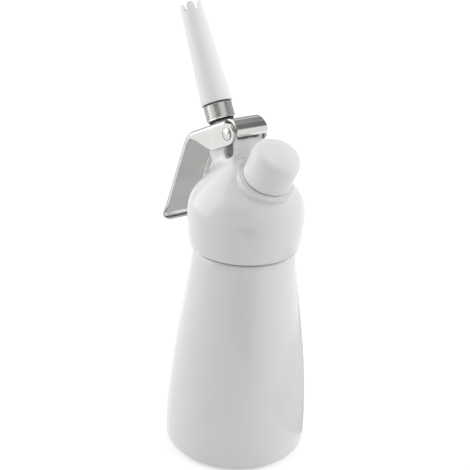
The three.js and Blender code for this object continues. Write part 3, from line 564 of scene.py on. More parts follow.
def plate(name, outline, half_width):
    """Draws a closed outline of X and Z pairs, corner by corner, and thickens it along Y"""
    x, z = outline[0]
    piece = added(name, bpy.ops.mesh.primitive_plane_add, size=mm)
    piece.location = (x * mm, -half_width * mm, z * mm)
    settled(piece)
    opened("VERT", "SELECT")
    bpy.ops.mesh.merge(type="CENTER")
    for next_x, next_z in [*outline[1:], outline[0]]:
        step = ((next_x - x) * mm, 0, (next_z - z) * mm)
        bpy.ops.mesh.extrude_vertices_move(TRANSFORM_OT_translate={"value": step})
        x, z = next_x, next_z
    bpy.ops.mesh.select_all(action="SELECT")
    bpy.ops.mesh.remove_doubles(threshold=merge_distance)
    bpy.ops.mesh.select_mode(type="EDGE")
    bpy.ops.mesh.select_all(action="SELECT")
    bpy.ops.mesh.edge_face_add()
    width = (0, 2 * half_width * mm, 0)
    bpy.ops.mesh.extrude_region_move(TRANSFORM_OT_translate={"value": width})
    faced_outward()
    return piece


def bar(name, back, front, half_width, foot, top):
    """A block along X, in millimetres, as a cutter"""
    return plate(name, [(back, foot), (front, foot), (front, top), (back, top)], half_width)


def rod(name, radius, foot, top, segments=64):
    """A round bar on Z, in millimetres"""
    return turned(name, [(0, foot), (radius, foot), (radius, top), (0, top)], segments=segments)


def leaned(piece, tilt, root):
    """Leans a piece made on Z, in degrees, and sets it at its root, inside its mesh"""
    piece.rotation_euler = (0, math.radians(tilt), 0)
    piece.location = Vector(root) * mm
    return settled(piece)


def combined(piece, other, operation):
    """Adds another body to a piece, or cuts it away"""
    with_modifier(piece, "combined", "BOOLEAN", operation=operation, solver="EXACT", object=other)
    bpy.data.objects.remove(other)
    return piece


def cut(piece, other):
    """Cuts another body away from a piece"""
    return combined(piece, other, "DIFFERENCE")


def on_valve(piece):
    """Leans a piece made on Z onto the valve's axis"""
    return leaned(piece, valve_tilt, valve_root)


def on_inlet(piece):
    """Leans a piece made on Z onto the inlet's axis"""
    return leaned(piece, inlet_tilt, inlet_root)


head_profile = (
    [(0, 108.5)]
    + rounded(25.6, 109.9, 1.4, -90, 0, 8)
    + swept((27, 109.9), (27.9, 114.8), (28.4, 120.2), (28.4, 126), 16)[1:]
    + swept((28.4, 126), (28.4, 135.2), (24, 138.8), (13.8, 149), 30)[1:]
    + swept((13.8, 149), (10.8, 152), (6.2, 153.5), (0, 153.5), 10)[1:]
)


def dome_height(radius):
    """Height of the dome at a radius, in millimetres"""
    for (outer, low), (inner, high) in zip(head_profile, head_profile[1:]):
        if low > dome_flank_height and inner <= radius <= outer:
            return low + (high - low) * (outer - radius) / max(outer - inner, 0.001)
    return 0


head = turned("head_casting", head_profile, segments=160)
tower = plate(
    "tower",
    [(-18.9, 131), (-26.4, 137.6)]
    + swept((-24.9, 138.8), (-21.6, 140.6), (-18.9, 142.6), (-18.9, 145.6), 10)
    + swept((-18.9, 146), (-18.9, 148), (-20.0, 150), (-21.3, 152.1), 5)
    + [(-18.2, 156.2)]
    + rounded(*pivot, 4.7, 180, 0, 18)
    + [(-0.9, 162.4), (-0.9, 155)]
    + swept((-0.9, 154.6), (-0.9, 153), (0.3, 152.2), (2, 151.2), 6)
    + [(5.4, 148.6), (5.4, 131)],
    tower_half,
)
combined(head, tower, "UNION")
with_modifier(head, "pattern", "REMESH", mode="VOXEL", voxel_size=0.8 * mm)
foot = head.vertex_groups.new(name="foot")
for vertex in head.data.vertices:
    x, y, z = vertex.co.x / mm, abs(vertex.co.y) / mm, vertex.co.z / mm
    if y > 8 and -26 < x < 4:
        away = math.hypot(max(0, y - tower_half) / 9, max(0, z - dome_height(math.hypot(x, y))) / 7)
        ends = max(0, min(1, (x + 19.5) / 6, (4 - x) / 5))
        foot.add([vertex.index], max(0, 1 - away) * ends, "REPLACE")
with_modifier(head, "fillet", "SMOOTH", factor=0.5, iterations=160, vertex_group="foot")
head.vertex_groups.clear()
tower_room = bar("pin_room", tower_back, -3.2, cheek_half, 150.2, above_tower)
above_rim = bar("above_rim", -5.2, 1.1, cheek_half, 161.9, above_tower)
combined(tower_room, above_rim, "UNION")
cut(tower_room, turned("dome_kept", head_profile, segments=160))
cut(head, tower_room)
cut(head, bar("back_recess", -1.4, 1.1, recess_half, 152.8, above_tower))
cut(head, on_inlet(rod("above_boss", 13.7, -0.5, 18)))
head_room = turned(
    "head_room",
    [(0, 107), (23.15, 107), (23.15, 121.6), (20.55, 121.6)]
    + swept((20.55, 127.6), (20.55, 133.6), (6.8, 149.5), (0, 149.5), 12),
    segments=128,
)
cut(head, head_room)
boss = turned(
    "boss",
    [(0, -7.1), (6.2, -7.1), (13.6, -3.5)]
    + rounded(12.7, -1.4, 0.9, 0, 90, 4)
    + [(12.6, -0.5), (12.6, 0), (0, 0)],
)
combined(head, on_inlet(boss), "UNION")
valve_housing = turned(
    "valve_housing",
    [(0, -1.2), (6.6, -1.2), (6.6, 19.5), (8.3, 19.5), (8.3, 36.5), (0, 36.5)],
)
combined(head, on_valve(valve_housing), "UNION")
slot_room = plate(
    "slot_room",
    rounded(*pivot, pin_bore_radius, 0, 180, 12)
    + rounded(pivot[0] - 0.4, slot_bend_height, slot_bend_radius, 180, 360, 12),
    slot_half,
)
cut(slot_room, bar("between_cheeks", tower_back, tower_front, cheek_half, 148, above_tower))
cut(head, slot_room)
pin_bore = plate("pin_bore", rounded(*pivot, pin_bore_radius, 0, 350, 35), slot_half)
cut(head, pin_bore)
valve_bore = turned(
    "valve_bore",
    [(0, -3.2), (4.9, -3.2), (4.9, 6), (3.85, 6), (3.85, 7.95), (5.3, 7.95), (5.3, 10.05)]
    + [(3.85, 10.05), (3.85, 19.45), (5.3, 19.45), (5.3, 21.55), (3.85, 21.55), (3.85, 24)]
    + [(6.7, 24), (6.7, 38.5), (0, 38.5)],
    segments=64,
)
cut(head, on_valve(valve_bore))
cut(head, on_inlet(rod("shank_hole", shank_hole_radius, -9, 2)))
with_modifier(head, "casting", "REMESH", mode="VOXEL", voxel_size=0.5 * mm, use_smooth_shade=True)
with_modifier(head, "softened", "SMOOTH", factor=0.5, iterations=7)
head.data.materials.clear()
dressed(head, enamel, "head", "head")

# Thread inside the head
# Cast with the head and cut clean: it takes the neck's thread with a little play.
head_thread_radii = (23.25, 22.35)
head_thread_foot = 111.45
head_thread = thread("head_thread", head_thread_radii, foot=head_thread_foot, **neck_winding)
dressed(head_thread, enamel, "head")

# Rim of the charger inlet
# The turned rim of the boss, enamelled with the head: a rounded lip, and a shallow groove
# between it and the cap.
inlet_rim = turned(
    "inlet_rim",
    [(11, -1.6), (11, -0.05), (12.35, -0.05), (12.5, -0.2), (12.6, -0.7)]
    + rounded(13.05, -0.75, 0.4, 180, 90, 5)
    + rounded(13.1, -1.05, 0.7, 90, 0, 8)
    + [(13.75, -2.2), (13.3, -2.9), (12.2, -2.9), (11, -1.6)],
    segments=160, smooth_below=50,
)
dressed(on_inlet(inlet_rim), enamel, "head")

# Guide bush in the foot of the spring's pocket
# A turned brass ring, pressed in, with the turning marks left on it.
marks_group, marks_in, marks_out, marks_place = new_group(
    "fine_marks", {"Along": 60.0, "Across": 2400.0, "Turn": 0.0}, ["Height", "Broad"]
)
marks_turn = add_node(marks_group, "VectorRotate", rotation_type="Y_AXIS")
marks_scale = add_node(marks_group, "CombineXYZ")
marks_scaled = add_node(marks_group, "VectorMath", operation="MULTIPLY")
marks_fine = add_node(marks_group, "TexNoise", {"Scale": 1.0, "Detail": 2.0})
marks_broad = add_node(marks_group, "TexNoise", {"Scale": 0.12, "Detail": 1.0})
wired(
    marks_group,
    (marks_place, "Object", marks_turn, "Vector"),
    (marks_in, "Turn", marks_turn, "Angle"),
    (marks_in, "Along", marks_scale, "X"),
    (marks_in, "Along", marks_scale, "Y"),
    (marks_in, "Across", marks_scale, "Z"),
    (marks_turn, "Vector", marks_scaled, 0),
    (marks_scale, "Vector", marks_scaled, 1),
    (marks_scaled, "Vector", marks_fine, "Vector"),
    (marks_scaled, "Vector", marks_broad, "Vector"),
    (marks_fine, "Fac", marks_out, "Height"),
    (marks_broad, "Fac", marks_out, "Broad"),
)


def marked_metal(name, colours, gloss, marks, depth, edge=1.0):
    """A tarnished, unevenly polished metal. Its marks: how fine along, across, and their turn"""
    values = {"Metallic": 1.0, "Specular Tint": (edge, edge, edge, 1)}
    grain = {"Cloud Scale": 70.0, "Grain Share": 0.5}
    marks = dict(zip(("Along", "Across", "Turn"), marks))
    material, tree, shader, variation = clouded(name, values, grain, *colours)
    lines = add_node(tree, "Group", marks, node_tree=marks_group)
    uneven = add_node(tree, "Mix", {"Factor": 0.5}, data_type="FLOAT")
    wired(tree, (lines, "Broad", uneven, "A"), (variation, "Cloud", uneven, "B"))
    surfaced(tree, shader, uneven.outputs["Result"], gloss, lines.outputs["Height"], depth, 0.6)
    return material


valve_turn = math.radians(-valve_tilt)
brass = marked_metal(
    "turned_brass", [(0.62, 0.46, 0.2), (0.72, 0.56, 0.28)], (0.22, 0.36),
    (60.0, 2600.0, valve_turn), 0.00003,
)
bush = on_valve(ringed("stem_guide_bush", 3.75, 6.55, 24.1, 26.4, edge=0.25, segments=64))
dressed(bush, brass, "head", "stem_bush")

# O-rings round the stem
# Two black nitrile rings, moulded, with the parting line of the mould round the outside.
rubber = moulded(
    "black_nitrile",
    {},
    {"Cloud Scale": 120.0, "Ripple Scale": 1400.0, "Grain Scale": 6000.0, "Grain Share": 0.6},
    colours=[(0.016, 0.016, 0.018), (0.034, 0.033, 0.034)],
    gloss=(0.42, 0.62),
    relief=(0.00004, 0.8),
    gloss_from="Grain",
)


def o_ring(name, mean_radius, section, height):
    """A ring of round section on Z with a faint parting line, in millimetres"""
    profile = rounded(mean_radius, height, section, 0, 360, 20)
    profile[0] = profile[-1] = (mean_radius + section * 0.97, height)
    return turned(name, profile, segments=72, smooth_below=60)


stem_ring_radius = 4.47
stem_ring_section = 0.82
for ring_name, ring_node, ring_height in (
    ("lower_o_ring", "lower_stem_ring", 9),
    ("upper_o_ring", "upper_stem_ring", 20.5),
):
    stem_ring = on_valve(o_ring(ring_name, stem_ring_radius, stem_ring_section, ring_height))
    dressed(stem_ring, rubber, "head", ring_node)

# Valve stem
# A hollow stem turned from steel: cross ports at its foot, a crowned collar that the lever
# presses, and a threaded spigot above the lever.
def satin_turned(name, turn):
    """Steel with the fine rings of turning round an axis that leans by a turn"""
    colours = [(0.55, 0.55, 0.54), (0.66, 0.66, 0.65)]
    return marked_metal(name, colours, (0.2, 0.36), (50.0, 2200.0, turn), 0.00003)


satin_steel = satin_turned("turned_steel", valve_turn)
collar_foot = 40.93
collar_top = 42.93
spigot_foot = 45.92
stem_top = 63.88
collar_handles = (6.7, collar_top - 0.15), (5.2, collar_top)
collar_crown = swept((6.8, collar_foot + 1.3), *collar_handles, (3.85, collar_top), 8)
valve_stem = turned(
    "hollow_valve_stem",
    [(0, -8.7), (1.8, -8.7), (2.1, -8.4), (2.1, -1.3), (3.4, -1.3), (3.6, -1.1), (3.6, collar_foot)]
    + [(6.6, collar_foot), (6.8, collar_foot + 0.2)]
    + collar_crown
    + [(3.6, collar_top), (3.6, spigot_foot), (4.3, spigot_foot), (4.5, spigot_foot + 0.2)]
    + [(4.5, stem_top - 0.5), (4.0, stem_top), (2.4, stem_top), (2.2, stem_top - 0.2)]
    + [(2.2, 1), (0, 1)],
    segments=72,
)
port = rod("stem_port", 1.5, -5, 5, 32)
port.rotation_euler = (math.pi / 2, 0, 0)
port.location = (0, 0, 3 * mm)
smoothed(cut(valve_stem, port), 40)
dressed(on_valve(valve_stem), satin_steel, "valve", "valve_stem")
spigot_thread = on_valve(thread("spigot_thread", (4.5, 4.8), 1.0, 8, spigot_foot + 8.9))
dressed(spigot_thread, satin_steel, "valve")

# Seal and its nut under the stem
# A black rubber disc shuts the chamber from below, held by a small hexagon nut.
valve_seal = on_valve(ringed("valve_seal_disc", 2.2, 6.2, -4.1, -1.4, edge=0.35, segments=72))
dressed(valve_seal, rubber, "valve", "valve_seal")
seal_nut_foot = -6.8
seal_nut_depth = 2.6
seal_nut_bar = {"vertices": 6, "radius": 4.6 * mm, "depth": seal_nut_depth * mm}
seal_nut = added("seal_hexagon_nut", bpy.ops.mesh.primitive_cylinder_add, **seal_nut_bar)
seal_nut.location.z = (seal_nut_foot + seal_nut_depth / 2) * mm
settled(seal_nut)
chamfer_cone = turned(
    "nut_chamfer",
    [(0, seal_nut_foot - 0.1), (3.9, seal_nut_foot - 0.1), (4.75, seal_nut_foot + 0.5)]
    + [(4.75, -4.7), (3.9, -4.1), (0, -4.1)],
    segments=72,
)
combined(seal_nut, chamfer_cone, "INTERSECT")
smoothed(cut(seal_nut, rod("nut_bore", 2.2, -9, 0, 48)), 25)
dressed(on_valve(seal_nut), satin_steel, "valve", "seal_nut")

# Return spring
# Six turns of spring wire between the brass bush and the stem's collar. It lifts the collar,
# which closes the valve and raises the lever.
spring_foot = 26.85
spring_top = 40.5
spring_radius = 5.4
wire_radius = 0.45
spring_wire = marked_metal(
    "spring_wire", [(0.42, 0.42, 0.42), (0.55, 0.55, 0.54)], (0.18, 0.34),
    (300.0, 900.0, valve_turn), 0.00002,
)
spring_rise = spring_top - spring_foot - 2 * wire_radius
spring_section = (spring_foot + wire_radius, wire_radius, wire_radius)
spring = wound("coil_return_spring", spring_radius, *spring_section, spring_rise, 6, 14, 50)
dressed(on_valve(spring), spring_wire, "head", "return_spring")
valve_axis = Vector((-math.sin(valve_turn), 0, math.cos(valve_turn)))
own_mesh(spring)

# Lever
# One piece of stainless sheet, 1.2 mm thick, blanked, pressed into a channel and polished: a web
# over the tower, an ear each side, a roll round the top of the tower, a bend, and a long handle
# with low flanges and a curled lip.
sheet = 1.2
web_tilt = math.radians(25.5)
handle_tilt = math.radians(68)
web_rise = 6.8
web_length = 34.9
bend_radius = 13
handle_length = 55
lip_radius = 3.8
lip_sweep = math.radians(90)
ear_radius = 5.1
lever_half = 10.1
fold_radius = 2.0
ear_blend_from, ear_blend_run = 12.7, 21
flange_depth, lip_depth_lost = 3.1, 1.75
lip_corner = 3.4
along = Vector((-math.cos(web_tilt), 0, -math.sin(web_tilt)))
inward = Vector((math.sin(web_tilt), 0, -math.cos(web_tilt)))
lever_start = Vector((pivot[0], 0, pivot[1])) - inward * web_rise
bend_sweep = handle_tilt - web_tilt
setback = bend_radius * math.tan(bend_sweep / 2)
web_run = web_length - setback
handle_from = web_run + bend_radius * bend_sweep
handle_run = handle_length - setback - lip_radius
lip_from = handle_from + handle_run
lever_end = lip_from + lip_radius * lip_sweep


def turned_down(direction, sweep):
    """A direction in the lever's plane, turned as the bend and the lip turn"""
    return Quaternion((0, 1, 0), -sweep) @ direction


def lever_station(distance):
    """Place and inward direction of the lever's outer face, at a distance from above the pin"""
    if distance <= web_run:
        return lever_start + along * distance, inward
    bend_centre = lever_start + along * web_run + inward * bend_radius
    if distance <= handle_from:
        spoke = turned_down(inward, (distance - web_run) / bend_radius)
        return bend_centre - spoke * bend_radius, spoke
    spoke = turned_down(inward, bend_sweep)
    bend_end = bend_centre - spoke * bend_radius
    down = turned_down(along, bend_sweep)
    if distance <= lip_from:
        return bend_end + down * (distance - handle_from), spoke
    lip_centre = bend_end + down * handle_run + spoke * lip_radius
    last = turned_down(spoke, (distance - lip_from) / lip_radius)
    return lip_centre - last * lip_radius, last


def eased(value, low, high):
    """A smooth step from 0 to 1"""
    share = min(1, max(0, (value - low) / (high - low)))
    return share * share * (3 - 2 * share)


def wall_depth(distance):
    """How deep the channel's side wall reaches: ears at the pin, then a low flange"""
    share = min(1, max(0, (distance - ear_blend_from) / ear_blend_run))
    blend = (1 + math.cos(math.pi * share)) / 2
    low = flange_depth - lip_depth_lost * eased(distance, lip_from - 7, lip_from + 0.5)
    return low + (web_rise + ear_radius - low) * blend


def lever_row(distance):
    """Side and depth of the outer skin, then of the inner skin, from the near to the far edge"""
    left = min(lip_corner, max(0, lip_corner - (lever_end - distance)))
    half = lever_half - (lip_corner - math.sqrt(lip_corner**2 - left**2))
    fold = fold_radius - 1.5 * eased(distance, lip_from - 6, lip_from + 1)
    reach = math.sqrt(max(0, ear_radius**2 - distance**2))
    skins = []
    for inset in (0, sheet):
        corner = fold if inset == 0 else max(fold, sheet + 0.05)
        top, bottom = corner, wall_depth(distance)
        if distance < 0:
            top, bottom = web_rise - reach, web_rise + reach
        wall = [(half - inset, bottom + (top - bottom) * step / 10) for step in range(11)]
        curve = rounded(half - corner, corner, corner - inset, 0, -90, 5)[1:-1]
        web = [((half - corner) * share / 6, inset) for share in range(6, 0, -1)]
        side = wall + curve + web
        near = [(-y, depth) for y, depth in side]
        skins.append(near + [(0, inset)] + side[::-1])
    return skins


row_places = [-ear_radius * math.cos(math.radians(step * 7.5)) for step in range(12)] + [0]
web_start = len(row_places) - 1
row_from = 0
for row_to, steps in ((web_run, 26), (handle_from, 12), (lip_from, 30), (lever_end, 12)):
    row_places += [row_from + (row_to - row_from) * step / steps for step in range(1, steps + 1)]
    row_from = row_to
row_places[-1:] = [lever_end - 0.25, lever_end - 0.1, lever_end]
lever_points = []
for distance in row_places:
    place, facing = lever_station(distance)
    for skin in lever_row(distance):
        for side, depth in skin:
            point = place + facing * depth
            lever_points.append((point.x * mm, side * mm, point.z * mm))
skin_size = len(lever_row(0)[0])
row_size = 2 * skin_size
wall_columns = set(range(10)) | set(range(skin_size - 11, skin_size - 1))
lever_faces = []


def quad(corner, *steps):
    """Adds a face of the lever: a corner, and how many points after it the others come"""
    lever_faces.append((corner, *(corner + step for step in steps)))


for row, row_place in enumerate(row_places[:-1]):
    this = row * row_size
    for column in range(skin_size - 1):
        if row_place >= 0 or column in wall_columns:
            quad(this + column, 1, row_size + 1, row_size)
            quad(this + column + skin_size + 1, -1, row_size - 1, row_size)
    for column in (0, skin_size - 1) if row_place >= 0 else (0, skin_size - 1, 10, skin_size - 11):
        quad(this + column, row_size, row_size + skin_size, skin_size)
for row, columns in (
    (web_start, range(10, skin_size - 11)),
    (len(row_places) - 1, range(skin_size - 1)),
):
    for column in columns:
        quad(row * row_size + column, 1, skin_size + 1, skin_size)


def sheet_piece(name, points, faces):
    """Makes a piece of points in metres and faces, all facing outward"""
    mesh = bpy.data.meshes.new(name)
    mesh.from_pydata(points, [], faces)
    piece = bpy.data.objects.new(name, mesh)
    bpy.context.collection.objects.link(piece)
    chosen(piece)
    opened("VERT", "SELECT")
    bpy.ops.mesh.remove_doubles(threshold=0.003 * mm)
    bpy.ops.mesh.dissolve_degenerate(threshold=0.003 * mm)
    faced_outward()
    return smoothed(piece, 35)


def broken_edges(piece, width, sharper_than):
    """Rounds the edges sharper than an angle in degrees, as wide as given in millimetres"""
    limit = {"limit_method": "ANGLE", "angle_limit": math.radians(sharper_than)}
    return with_modifier(piece, "broken_edges", "BEVEL", width=width * mm, segments=2, **limit)


lever = broken_edges(sheet_piece("pressed_lever", lever_points, lever_faces), 0.22, 55)
stem_hole = rod("stem_hole", 5, -4, 4, 64)
web_middle = 44.38
hole_place = valve_axis * web_middle + Vector(valve_root) - along * 0.7
leaned(stem_hole, -math.degrees(web_tilt), hole_place)
cut(lever, stem_hole)

# The roll round the top of the tower. Its first ring is set forward, into the web.
roll_half = 8.55
roll_inner, roll_outer, roll_edge = 5.6, 6.8, 0.2
roll_sweep = 115.5
roll_steps = 28
roll_section = [
    (-roll_half, roll_inner + roll_edge),
    (-roll_half, roll_outer - roll_edge),
    (-roll_half + roll_edge, roll_outer),
    (-roll_half / 3, roll_outer),
]
roll_section += [(-side, radius) for side, radius in reversed(roll_section)]
roll_section += [(roll_half - roll_edge, roll_inner), (-roll_half + roll_edge, roll_inner)]
roll_rings = [(roll_sweep, sheet)]
roll_rings += [(roll_sweep - roll_sweep * step / roll_steps, 0) for step in range(roll_steps + 1)]
roll_points = []
for angle, ahead in roll_rings:
    turn = math.radians(angle)
    for side, radius in roll_section:
        x = pivot[0] + radius * math.cos(turn) + along.x * ahead
        z = pivot[1] + radius * math.sin(turn) + along.z * ahead
        roll_points.append((x * mm, side * mm, z * mm))
ring_size = len(roll_section)
last_ring = len(roll_points) - ring_size
roll_faces = [tuple(range(ring_size)), tuple(range(last_ring, len(roll_points)))]
for first in range(0, last_ring, ring_size):
    second = first + ring_size
    for corner in range(ring_size):
        after_corner = (corner + 1) % ring_size
        near, far = first + after_corner, second + after_corner
        roll_faces.append((first + corner, near, far, second + corner))
roll = sheet_piece("lever_roll", roll_points, roll_faces)
chosen(lever)
roll.select_set(True)
bpy.ops.object.join()
smoothed(lever, 35)
polished = marked_metal(
    "polished_stainless", [(0.66, 0.65, 0.635), (0.74, 0.73, 0.715)], (0.1, 0.19),
    (500.0, 26.0, math.radians(22)), 0.000006, edge=0.35,
)
lever.data.materials.clear()
dressed(lever, polished, "lever", "lever")

# Lever pin
# A steel rivet through the ears and the tower's slots, with a domed head formed at each end.
pin_end = lever_half + 0.1
# From the rim of the formed head to its crown
pin_head = swept(
    (3.1, pin_end + 0.12), (2.8, pin_end + 0.75), (1.9, pin_end + 1.2), (0.5, pin_end + 1.29), 8
) + [(0, pin_end + 1.3)]
lever_pin = turned(
    "domed_rivet",
    [(radius, -height) for radius, height in reversed(pin_head)]
    + [(3.0, -pin_end), (2.6, -pin_end), (2.6, pin_end), (3.0, pin_end)]
    + pin_head,
    segments=72, smooth_below=35,
)
lever_pin.rotation_euler = (math.pi / 2, 0, 0)
lever_pin.location = (pivot[0] * mm, 0, pivot[1] * mm)
settled(lever_pin)
rivet_steel = marked_metal(
    "polished_rivet", [(0.62, 0.61, 0.595), (0.7, 0.69, 0.675)], (0.05, 0.1),
    (400.0, 400.0, 0.0), 0.000004, edge=0.2,
)
dressed(lever_pin, rivet_steel, "lever", "lever_pin")

# Knurled nut
# Turned from aluminium bar and diamond knurled between two chamfers. It screws down the spigot
# and holds the black ring in the gap above the lever.
nut_radius = 7.1
nut_foot = 46.88
nut_top = 54.48
knurl_columns = 80
knurl_rows = 10
knurl_depth = 0.45
flat_below = 0.08
spigot_bore = 4.95
turned_aluminium = marked_metal(
    "turned_aluminium", [(0.78, 0.775, 0.76), (0.86, 0.855, 0.84)], (0.18, 0.3),
    (60.0, 2400.0, valve_turn), 0.00002,
)
# Painted shade: the knurl's grooves are painted dark, and its raised points keep the bright metal
knurl_groove_shade_mask = add_node(turned_aluminium.node_tree, "Attribute", attribute_name="clear_of_groove_shade")
masked(turned_aluminium, knurl_groove_shade_mask.outputs["Fac"], {"A": (0.22, 0.217, 0.21, 1)}, "B")
knurled_from, knurled_to = nut_foot + 0.5, nut_top - 0.35
knurl_step = (knurled_to - knurled_from) / (knurl_rows - 1)
knurl_profile = [(nut_radius - flat_below, knurled_from + knurl_step * row) for row in range(knurl_rows)]
nut_profile = (
    [(spigot_bore, nut_foot + 0.3), (spigot_bore + 0.3, nut_foot)]
    + [(nut_radius - 0.42, nut_foot), (nut_radius - flat_below, nut_foot + 0.35)]
    + knurl_profile
    + [(nut_radius - flat_below, nut_top - 0.2), (nut_radius - 0.25, nut_top)]
    + [(spigot_bore + 0.3, nut_top), (spigot_bore, nut_top - 0.3)]
    + [(spigot_bore, nut_foot + 0.3)]
)
knurled_nut = turned("diamond_knurled_nut", nut_profile, segments=knurl_columns, smooth_below=18)
clear_of_groove_shade = knurled_nut.data.attributes.new("clear_of_groove_shade", "FLOAT", "POINT")
# The mask is 0 in the knurl's grooves, which take the painted shade, and 1 on the raised points and off
# the knurl
for vertex in knurled_nut.data.vertices:
    clear_of_groove_shade.data[vertex.index].value = 1
    radius = math.hypot(vertex.co.x, vertex.co.y) / mm
    height = vertex.co.z / mm
    if radius < nut_radius - 0.2 or not knurled_from - 0.01 < height < knurled_to + 0.01:
        continue
    row = round((height - knurled_from) / knurl_step)
    column = round(math.atan2(vertex.co.y, vertex.co.x) / (2 * math.pi) * knurl_columns)
    pointed = (row + column) % 2 == 0
    clear_of_groove_shade.data[vertex.index].value = pointed
    share = (nut_radius if pointed else nut_radius - knurl_depth) / radius
    vertex.co.x *= share
    vertex.co.y *= share
smoothed(knurled_nut, 12)
dressed(on_valve(knurled_nut), turned_aluminium, "valve", "knurled_nut")

# Black ring under the nut
# A nitrile ring that lies in the dark gap between the nut and the lever's web.
nut_ring = on_valve(o_ring("nut_seat_ring", 5.7, 0.44, nut_foot - 0.46))
dressed(nut_ring, rubber, "valve", "nut_ring")

# Washer under the tip
# A thin black fibre-filled rubber washer, seen as the dark line between the nut and the tip.
tip_washer = on_valve(
    ringed("tip_seat_washer", spigot_bore, 6.95, nut_top + 0.06, nut_top + 0.56, edge=0.12)
)
dressed(tip_washer, rubber, "tip_seat", "tip_washer")

# Decorating tip
# Moulded in milky white polypropylene, with six rounded tongues at its mouth.
tip_foot = 55.1
tip_end = 105.5
tip_base_radius = 7.9
tip_end_radius = 5.6
tongue_count = 6
tip_turn = 22


def milky_plastic(name, dark, light, weight):
    """A moulded, slightly clouded plastic that light enters a little way"""
    depth = {"Subsurface Weight": weight, "Subsurface Radius": (0.006, 0.0058, 0.0054)}
    material = moulded(
        name,
        {"IOR": 1.49, **depth},
        {"Cloud Scale": 46.0, "Ripple Scale": 620.0, "Grain Scale": 3600.0, "Grain Share": 0.5},
        colours=[dark, light],
        gloss=(0.36, 0.46),
        relief=(0.00004, 0.7),
    )
    return flecked(material, (0.55, 0.53, 0.5), {"Scale": 520.0, "Size": 0.045})


tip_plastic = milky_plastic("milky_polypropylene", (0.94, 0.94, 0.93), (0.965, 0.965, 0.955), 0.2)
taper = (tip_base_radius - tip_end_radius) / 24
rise = (tip_end - 0.6 - tip_foot) / 24
tip = turned(
    "decorating_tip_tube",
    [(spigot_bore, tip_foot + 0.3)]
    + rounded(spigot_bore + 0.3, tip_foot + 0.3, 0.3, 180, 270, 3)
    + rounded(tip_base_radius - 0.35, tip_foot + 0.35, 0.35, -90, 0, 5)
    + [(tip_base_radius - taper * step, tip_foot + 0.35 + rise * step) for step in range(1, 25)]
    + rounded(tip_end_radius - 0.3, tip_end - 0.3, 0.3, 0, 90, 3)
    + rounded(tip_end_radius - 1.2, tip_end - 0.3, 0.3, 90, 180, 3)
    + [(spigot_bore, tip_foot + 12), (spigot_bore, tip_foot + 0.3)],
    segments=120,
)
pitch = 2 * math.pi / tongue_count
half_gap = tip_end_radius * pitch * 0.15
half_pitch = tip_end_radius * pitch / 2
crown = half_pitch - half_gap
gap_floor = tip_end - 4.4 + half_gap
gap_outline = (
    rounded(0, gap_floor, half_gap, 180, 360, 10)
    + rounded(half_pitch, tip_end - crown, crown, 180, 90, 8)
    + [(half_pitch, tip_end + 2), (-half_pitch, tip_end + 2)]
    + rounded(-half_pitch, tip_end - crown, crown, 90, 0, 8)
)
for count in range(tongue_count):
    gap = plate("tongue_gap", gap_outline, tip_end_radius / 2)
    gap.location.y = tip_end_radius * 0.9 * mm
    settled(gap)
    gap.rotation_euler.z = math.radians(tip_turn) + pitch * count
    cut(tip, settled(gap))
smoothed(broken_edges(tip, 0.18, 50), 40)
dressed(on_valve(tip), tip_plastic, "tip", "decorating_tip")

# Charger inlet
# A turned nipple screws into the boss on a thin gasket. It carries the thread for the charger's
# holder, the hollow pin that pierces the charger, and the rubber parts that seal the gas in.
inlet_turn = math.radians(-inlet_tilt)
inlet_steel = satin_turned("inlet_steel", inlet_turn)
nipple_foot, nipple_top, nipple_floor, tail_foot = 1.0, 13.0, 4.0, -12.0
inlet_gasket = on_inlet(ringed("inlet_flat_gasket", shank_hole_radius, 9.3, 0.1, 0.9, edge=0.15))
dressed(inlet_gasket, rubber, "head", "inlet_gasket")
nipple = turned(
    "inlet_threaded_nipple",
    [(0.8, tail_foot), (2.8, tail_foot), (3, tail_foot + 0.2), (3, -8), (4.8, -8), (5, -7.8)]
    + [(5, nipple_foot), (8.5, nipple_foot), (8.7, nipple_foot + 0.2), (8.7, nipple_top - 0.9)]
    + [(7.9, nipple_top), (5.4, nipple_top), (4.6, nipple_top - 0.8), (4.6, nipple_floor)]
    + [(1.4, nipple_floor), (1.4, -1), (0.8, -1), (0.8, tail_foot)],
    segments=96,
)
dressed(on_inlet(nipple), inlet_steel, "head", "inlet_nipple")
nipple_thread = on_inlet(thread("nipple_thread", (8.7, 9.3), 1.5, 6, nipple_foot + 1.4))
dressed(nipple_thread, inlet_steel, "head")
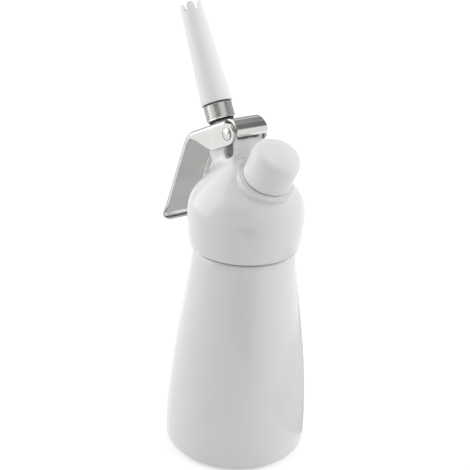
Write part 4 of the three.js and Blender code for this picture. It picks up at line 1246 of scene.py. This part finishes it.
piercing_pin = turned(
    "hollow_piercing_pin",
    [(0.45, -0.9), (1.2, -0.9), (1.3, -0.8), (1.3, 7.2), (0.52, 9.2), (0.45, 9.1), (0.45, -0.9)],
    segments=48,
)
dressed(on_inlet(piercing_pin), inlet_steel, "head", "piercing_pin")
for rubber_name, rubber_node, inner, outer, foot, top in (
    ("pin_seal_ring", "pin_seal", 1.4, 4.5, 4.1, 6.1),
    ("gas_port_sleeve", "check_sleeve", 3.06, 4.26, -11.9, -8.1),
):
    rubber_part = on_inlet(ringed(rubber_name, inner, outer, foot, top, edge=0.25, segments=72))
    dressed(rubber_part, rubber, "head", rubber_node)

# Inlet cap
# A short cup moulded in milky white plastic with a domed crown, screwed over the nipple, and a
# silicone disc inside it.
cap_radius = 11.7
cap_foot = 0.4
cap_top = 18.2
cap_plastic = milky_plastic("milky_cap_plastic", (0.84, 0.84, 0.825), (0.88, 0.88, 0.87), 0.3)
cap_handles = (cap_radius, cap_top - 1.9), (cap_radius * 0.76, cap_top)
cap_crown = swept((cap_radius, cap_top - 6.2), *cap_handles, (0, cap_top), 40)
inlet_cap = turned(
    "domed_inlet_cap",
    [(0, 14.9), (9.4, 14.9), (10.1, 14.2), (10.1, cap_foot + 0.3)]
    + rounded(10.4, cap_foot + 0.3, 0.3, 180, 270, 3)[1:]
    + rounded(cap_radius - 0.55, cap_foot + 0.55, 0.55, -90, 0, 5)
    + [(cap_radius, cap_foot + 4), (cap_radius, cap_foot + 8)]
    + cap_crown,
    segments=144, smooth_below=50,
)
dressed(on_inlet(inlet_cap), cap_plastic, "cap", "inlet_cap")
cap_thread = on_inlet(thread("cap_thread", (10.15, 9.55), 1.5, 5, 2.6))
dressed(cap_thread, cap_plastic, "cap")
cap_liner = turned(
    "cap_liner_disc",
    [(0, 13.15), (9.75, 13.15), (9.95, 13.35), (9.95, 14.35), (9.75, 14.55), (0, 14.55)],
    segments=96, smooth_below=50,
)
dressed(on_inlet(cap_liner), silicone, "cap_seat", "cap_liner")
